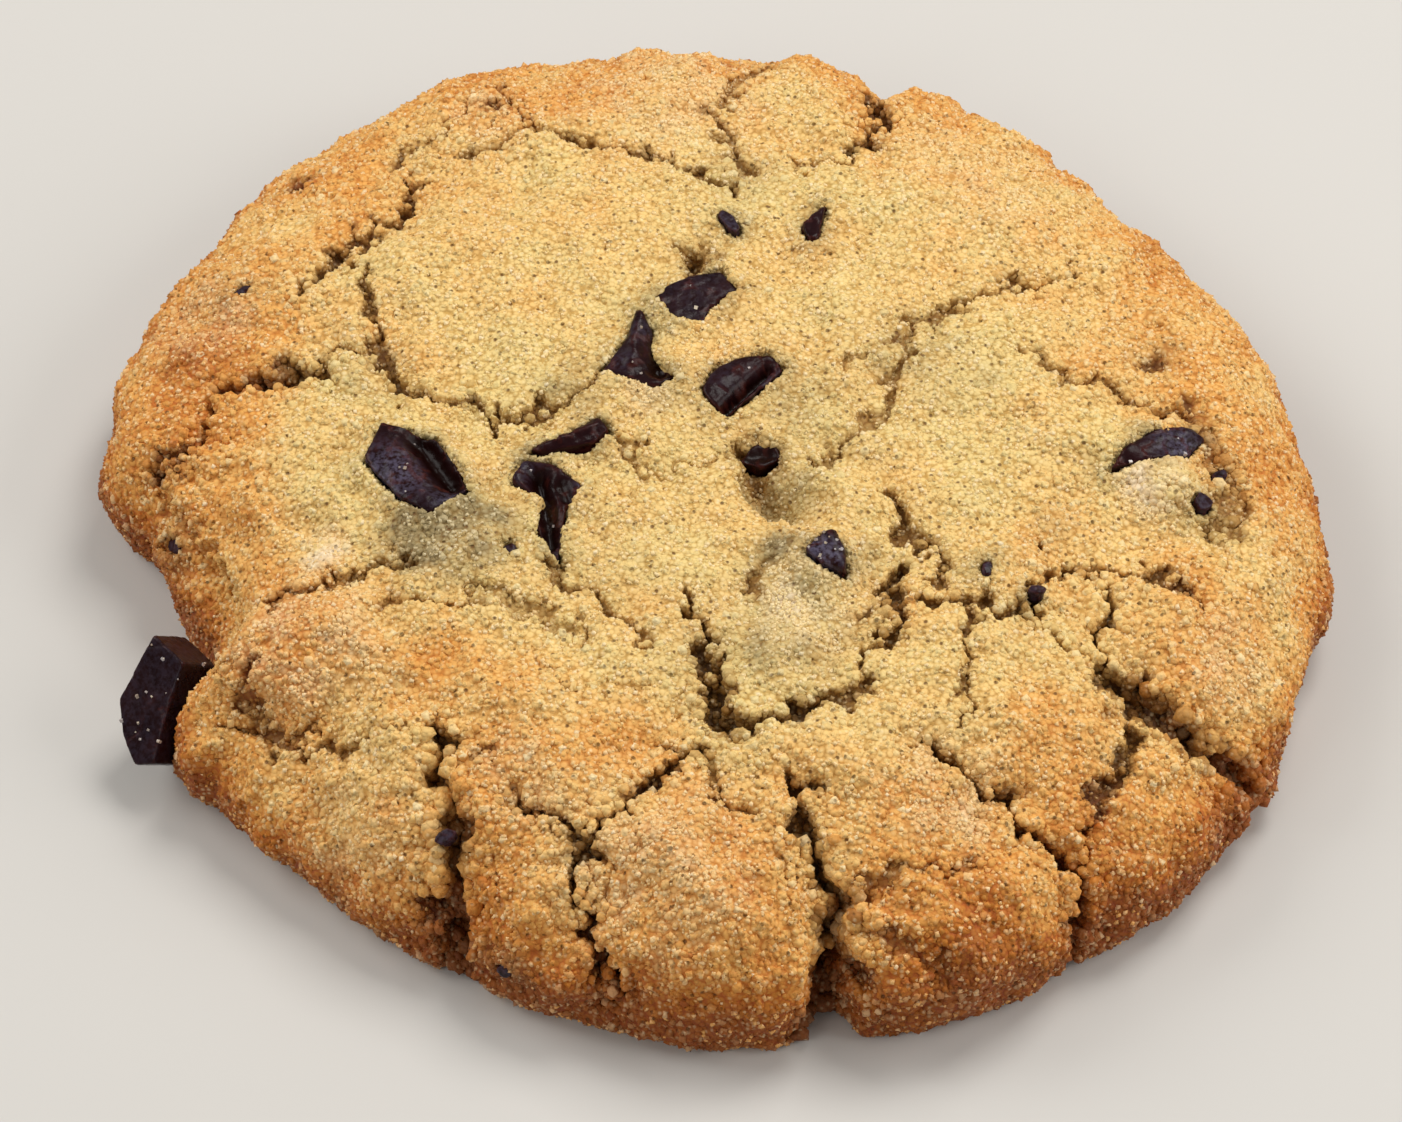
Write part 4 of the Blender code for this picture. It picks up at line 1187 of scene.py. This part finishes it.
# %% Places for grains
FOOT_HEIGHT = 0.3  # nothing is strewn below this height in millimetres


def surface_table(piece):
    """Points, corners, areas and normals of a piece's triangles."""
    mesh = piece.data
    mesh.calc_loop_triangles()
    corners = read_all(mesh.loop_triangles, "vertices", 3, np.int32)
    points = read_points(mesh)
    cross = np.cross(points[corners[:, 1]] - points[corners[:, 0]],
                     points[corners[:, 2]] - points[corners[:, 0]])
    size = np.linalg.norm(cross, axis=1)
    return points, corners, size / 2, cross / np.maximum(size, 1e-15)[:, None]


def strew(piece, count, weight, rng):
    """Random places on a piece, more where the weight is high: points, normals and masks."""
    points, corners, area, normals = surface_table(piece)
    above_foot = points[corners][:, :, 2].mean(axis=1) > FOOT_HEIGHT * MM
    chance = area * weight[corners].mean(axis=1) * above_foot
    chosen = rng.choice(len(corners), size=count, p=chance / chance.sum())
    first, second = rng.random(count), rng.random(count)
    over = first + second > 1
    first = np.where(over, 1 - first, first)
    second = np.where(over, 1 - second, second)
    shares = np.stack([1 - first - second, first, second], axis=1)
    spots_there = np.einsum("ij,ijk->ik", shares, points[corners[chosen]])
    masks = {name: np.einsum("ij,ij->i", shares, get_attribute(piece.data, name)[corners[chosen]])
             for name in ("toast_and_shade", "crack", "stain_and_shade", "frost_and_glint") if name in piece.data.attributes}
    return spots_there, normals[chosen], masks


crack_there, frost_and_glint_there, lip_there, fissure_there, open_there, ragged_there = (
    get_attribute(crust.data, name) for name in ("crack", "frost_and_glint", "lip", "fissure", "open", "ragged"))
print("crust area in square centimetres:", round(surface_table(crust)[2].sum() * 1e4, 1))

# %% Joined grains
GRAIN_FORMS = {  # operator, its sizes and how uneven each form is; all are about 1 across
    "cube": (bmesh.ops.create_cube, {"size": 0.85}, 0.4),
    "octahedron": (bmesh.ops.create_uvsphere, {"u_segments": 4, "v_segments": 2, "radius": 0.56}, 0.35),
    "ball": (bmesh.ops.create_icosphere, {"subdivisions": 1, "radius": 0.5}, 0.35),
}


def one_grain(form, seed):
    """Points and triangles of one uneven grain."""
    create, sizes, uneven = GRAIN_FORMS[form]
    grain = bmesh.new()
    create(grain, **sizes)
    bmesh.ops.triangulate(grain, faces=grain.faces[:])
    for vert in grain.verts:
        vert.co *= 1 + uneven * noise.noise(vert.co * 3 + Vector((seed, 0, 0)))
    points = np.array([vert.co[:] for vert in grain.verts])
    faces = np.array([[vert.index for vert in face.verts] for face in grain.faces])
    grain.free()
    return points, faces


def random_turns(count, rng):
    """Evenly random rotation matrices."""
    four = rng.normal(size=(count, 4))
    w, x, y, z = (four / np.linalg.norm(four, axis=1)[:, None]).T
    rows = [1 - 2 * (y * y + z * z), 2 * (x * y - z * w), 2 * (x * z + y * w),
            2 * (x * y + z * w), 1 - 2 * (x * x + z * z), 2 * (y * z - x * w),
            2 * (x * z - y * w), 2 * (y * z + x * w), 1 - 2 * (x * x + y * y)]
    return np.stack(rows, axis=-1).reshape(-1, 3, 3)


def join_grains(name, grain, places, sizes, turns, masks, finish, smooth):
    """One mesh made of a grain repeated at every place."""
    points, faces = grain
    count, each = len(places), len(points)
    moved = np.einsum("nij,nkj->nki", turns, points[None] * sizes[:, None, :]) + places[:, None, :]
    rows = (faces[None] + each * np.arange(count)[:, None, None]).reshape(-1, faces.shape[1])
    mesh = bpy.data.meshes.new(name)
    mesh.vertices.add(count * each)
    mesh.vertices.foreach_set("co", moved.astype(np.float32).ravel())
    mesh.loops.add(rows.size)
    mesh.loops.foreach_set("vertex_index", rows.astype(np.int32).ravel())
    mesh.polygons.add(len(rows))
    mesh.polygons.foreach_set("loop_start", np.arange(0, rows.size, rows.shape[1], dtype=np.int32))
    mesh.polygons.foreach_set("use_smooth", np.full(len(rows), smooth))
    mesh.update(calc_edges=True)
    mesh.validate()
    for mask_name, values in masks.items():
        set_attribute(mesh, mask_name, np.repeat(values, each))
    mesh.materials.append(finish)
    piece = link(name, mesh)
    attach(piece, "root")
    print(name, "grains:", count, "triangles:", len(rows) * (rows.shape[1] - 2))
    return piece


# %% [markdown]
# ## Dough grains
# The bed of grains comes in three kinds: larger ones, small ones and, in the paler middle,
# the finest. Cubes and octahedra shaded smooth read as round at this size and cost little.
# Crumbs, larger still, gather along crack lips, in a few loose piles and in wide fissures.

# %% Dough grains
CRUMB_PILES = (  # place u, v, radius and how thick
    (-28.3, -11.2, 1.3, 3.5), (30.6, -4.6, 1.9, 2.4), (-5, -1.2, 1.4, 0.5), (8.4, -42, 1.8, 0.8),
)
COUNT_SHARE = 1.0


def scatter(name, form, form_seed, count, weight, low, high, sunk, seed, finish=CRUMB_FINISH):
    """Strew one kind of grain over the crust; sunk is the share of its size below."""
    rng = np.random.default_rng(seed)
    count = round(count * COUNT_SHARE)
    places, normals, masks = strew(crust, count, weight, rng)
    size = rng.uniform(low, high, count) * MM
    sizes = size[:, None] * rng.uniform(0.8, 1.2, (count, 3))
    masks["tint"] = rng.normal(0, 1, count)
    # Grains carry the painted crack shade of the crust under them, a little weaker.
    masks["crack"] = masks["crack"] * 0.7
    places = places - normals * (size * sunk)[:, None]
    places[:, 2] = np.maximum(places[:, 2], 0.7 * size)
    grain = one_grain(form, form_seed)
    return join_grains(name, grain, places, sizes, random_turns(count, rng), masks, finish, True)


rim_there = smooth_step((np.hypot(map_u, map_v) - 14) / 16)
bed_there = (1.0 - 0.85 * crack_there) * open_there
edge_there = 2.0 * ragged_there * open_there
pile_there = spots(map_u, map_v, CRUMB_PILES) * open_there
KINDS = (  # name, form, seed, count, where, smallest and largest in millimetres, sunk, seed
    ("dough_grains", "cube", 3, 16400, (0.12 + rim_there) * bed_there + edge_there, 0.38, 0.6, 0.24, 11),
    ("dough_grains_small", "octahedron", 8, 24600, (0.3 + rim_there) * bed_there, 0.32, 0.48, 0.2, 13),
    ("dough_grains_finest", "octahedron", 6, 24600, (1.1 - rim_there) * bed_there + edge_there,
     0.28, 0.44, 0.22, 15),
    ("dough_crumbs", "ball", 5, 8200, (0.02 + lip_there**2) * open_there + pile_there,
     0.4, 0.95, 0.15, 17),
    ("dough_clumps", "ball", 7, 850, fissure_there, 0.7, 1.4, 0.05, 19),
)
for kind in KINDS:
    scatter(*kind)

# %% [markdown]
# ## Sugar crystals
# Sugar is what glitters. A half-melted crystal is a rounded cube too, but glossier and paler
# than the dough. More lie where the crust looks frosted, and a few on the chocolate.

# %% Sugar crystals
UPWARD_FACE = 0.45  # specks lie on faces whose normal points up by at least this
SPECKS = {"chocolate_block": 16, "chocolate_big": 5, "chocolate_wedge": 3, "chocolate_split": 2,
          "chocolate_ridged": 2, "chocolate_top": 2, "chocolate_right": 3, "chocolate_dusty": 14}


def make_sugar_finish(name, young, baked):
    """Glossy sugar between two colours, the second where the crust is browned."""
    finish, graph, shader = new_finish(name)
    tint = graph.mask("tint")
    # Browner where the crust is browned, which on the side walls includes painted shade.
    colour = graph.over(young, graph.mask("toast_and_shade"), 1.0, baked)
    colour = graph.over(colour, graph.between(tint, 0.0, 3.0), 0.55, screen(255, 240, 206))
    # Grey of the stain on sugar, with painted shade in sunken places.
    colour = graph.over(colour, graph.mask("stain_and_shade"), 0.7, screen(186, 174, 138))
    # Painted shade on sugar that lies in cracks.
    colour = graph.over(colour, graph.mask("crack"), 0.8, screen(140, 88, 34))
    graph.fill(shader, {"Base Color": colour, "Roughness": graph.between(tint, -3.0, 13.0)})
    return finish


SUGAR_FINISH = make_sugar_finish("sugar crystals", screen(243, 214, 152), screen(226, 162, 86))
SPECK_FINISH = make_sugar_finish("sugar specks", screen(178, 172, 176), screen(160, 140, 122))
wall_there = smooth_step((np.hypot(map_u, map_v) - 40) / 6)
sugar_there = (0.4 - 0.24 * wall_there + 2.2 * frost_and_glint_there) * (1 - 0.8 * crack_there) * open_there
scatter("sugar_crystals", "cube", 1, 16400, sugar_there, 0.2, 0.36, 0.08, 23, SUGAR_FINISH)


def scatter_specks():
    """A few crystals stuck to the upper faces of the chocolate."""
    rng = np.random.default_rng(31)
    places = []
    for name, count in SPECKS.items():
        piece = bpy.data.objects[name]
        found, normals, _ = strew(piece, count * 6, 0.1 + get_attribute(piece.data, "bloom_and_sheen"), rng)
        places.append(found[normals[:, 2] > UPWARD_FACE][:count])
    places = np.concatenate(places)
    count = len(places)
    sizes = rng.uniform(0.09, 0.25, (count, 1)) * MM * rng.uniform(0.8, 1.2, (count, 3))
    masks = {"toast_and_shade": rng.uniform(0, 1, count), "crack": np.zeros(count),
             "tint": rng.normal(0.0, 1, count)}
    return join_grains("sugar_specks", one_grain("cube", 2), places, sizes, random_turns(count, rng),
                       masks, SPECK_FINISH, False)


scatter_specks()

# %% [markdown]
# ## Floor, light and camera
# A plain pale floor and soft lights, the largest from behind and above, keep the cookie's
# near side in gentle shade, which brings out the cracks. A long lens looks down at about
# fifty degrees, as a food photographer would stand.

# %% Floor
FLOOR_SIZE = 3.0


def make_floor():
    """A plain pale floor under the cookie."""
    shape = bmesh.new()
    bmesh.ops.create_grid(shape, x_segments=1, y_segments=1, size=FLOOR_SIZE / 2)
    floor = link("floor", new_mesh("floor", shape))
    finish, graph, shader = new_finish("pale floor")
    soft = graph.add("ShaderNodeTexNoise", {"Scale": 3.0, "Detail": 2.0}).outputs[0]
    colour = graph.ramp(soft, (0.3, screen(205, 202, 197)), (0.7, screen(212, 209, 204)))
    graph.fill(shader, {"Base Color": colour, "Roughness": 0.7})
    floor.data.materials.append(finish)


make_floor()

# %% Light and camera
CAMERA_ELEVATION = 51.0
CAMERA_TARGET = (-0.8, -6.2, 6.0)
LENS = 135.0
SENSOR = 36.0
PHOTO_WIDTH = 1402
PIXELS_PER_MM = 14.35
CAMERA_DISTANCE = LENS / SENSOR * PHOTO_WIDTH / PIXELS_PER_MM
WARM = (1.0, 0.98, 0.95)
NEUTRAL = (1.0, 0.99, 0.97)
LIGHTS = (  # name, place in metres, size, power and colour
    ("key", (0.23, 0.30, 0.57), 0.30, 2.38, WARM),
    ("left fill", (-0.48, 0.20, 0.42), 0.4, 1.95, NEUTRAL),
    ("near fill", (-0.42, -0.38, 0.44), 0.3, 0.8, NEUTRAL),
    ("right fill", (0.58, -0.06, 0.34), 0.4, 2.0, NEUTRAL),
)
WORLD_STRENGTH = 0.26


def look_from(thing, place, direction):
    """Stand a light or a camera at a place, looking back along a direction."""
    thing.location = place
    thing.rotation_euler = direction.to_track_quat("Z", "Y").to_euler()


def soft_light(name, place, size, power, colour):
    """A square area light that looks at the cookie."""
    light = bpy.data.lights.new(name, "AREA")
    light.size = size
    light.energy = power
    light.color = colour
    look_from(link(name, light), place, Vector(place))


def make_camera():
    """The photographer's view, looking along +Y and down."""
    data = bpy.data.cameras.new("camera")
    data.lens = LENS
    data.sensor_width = SENSOR
    data.clip_start = 0.01
    tilt = math.radians(CAMERA_ELEVATION)
    back = Vector((0, -math.cos(tilt), math.sin(tilt)))
    camera = link("camera", data)
    look_from(camera, (Vector(CAMERA_TARGET) + back * CAMERA_DISTANCE) * MM, back)
    bpy.context.scene.camera = camera


for light in LIGHTS:
    soft_light(*light)
world = bpy.data.worlds.new("studio")
world.use_nodes = True
surroundings = {"Color": (*WARM, 1.0), "Strength": WORLD_STRENGTH}
Graph(world.node_tree).fill(world.node_tree.nodes["Background"], surroundings)
bpy.context.scene.world = world
bpy.context.scene.view_settings.view_transform = "Standard"
make_camera()
print("camera distance in millimetres:", round(CAMERA_DISTANCE))
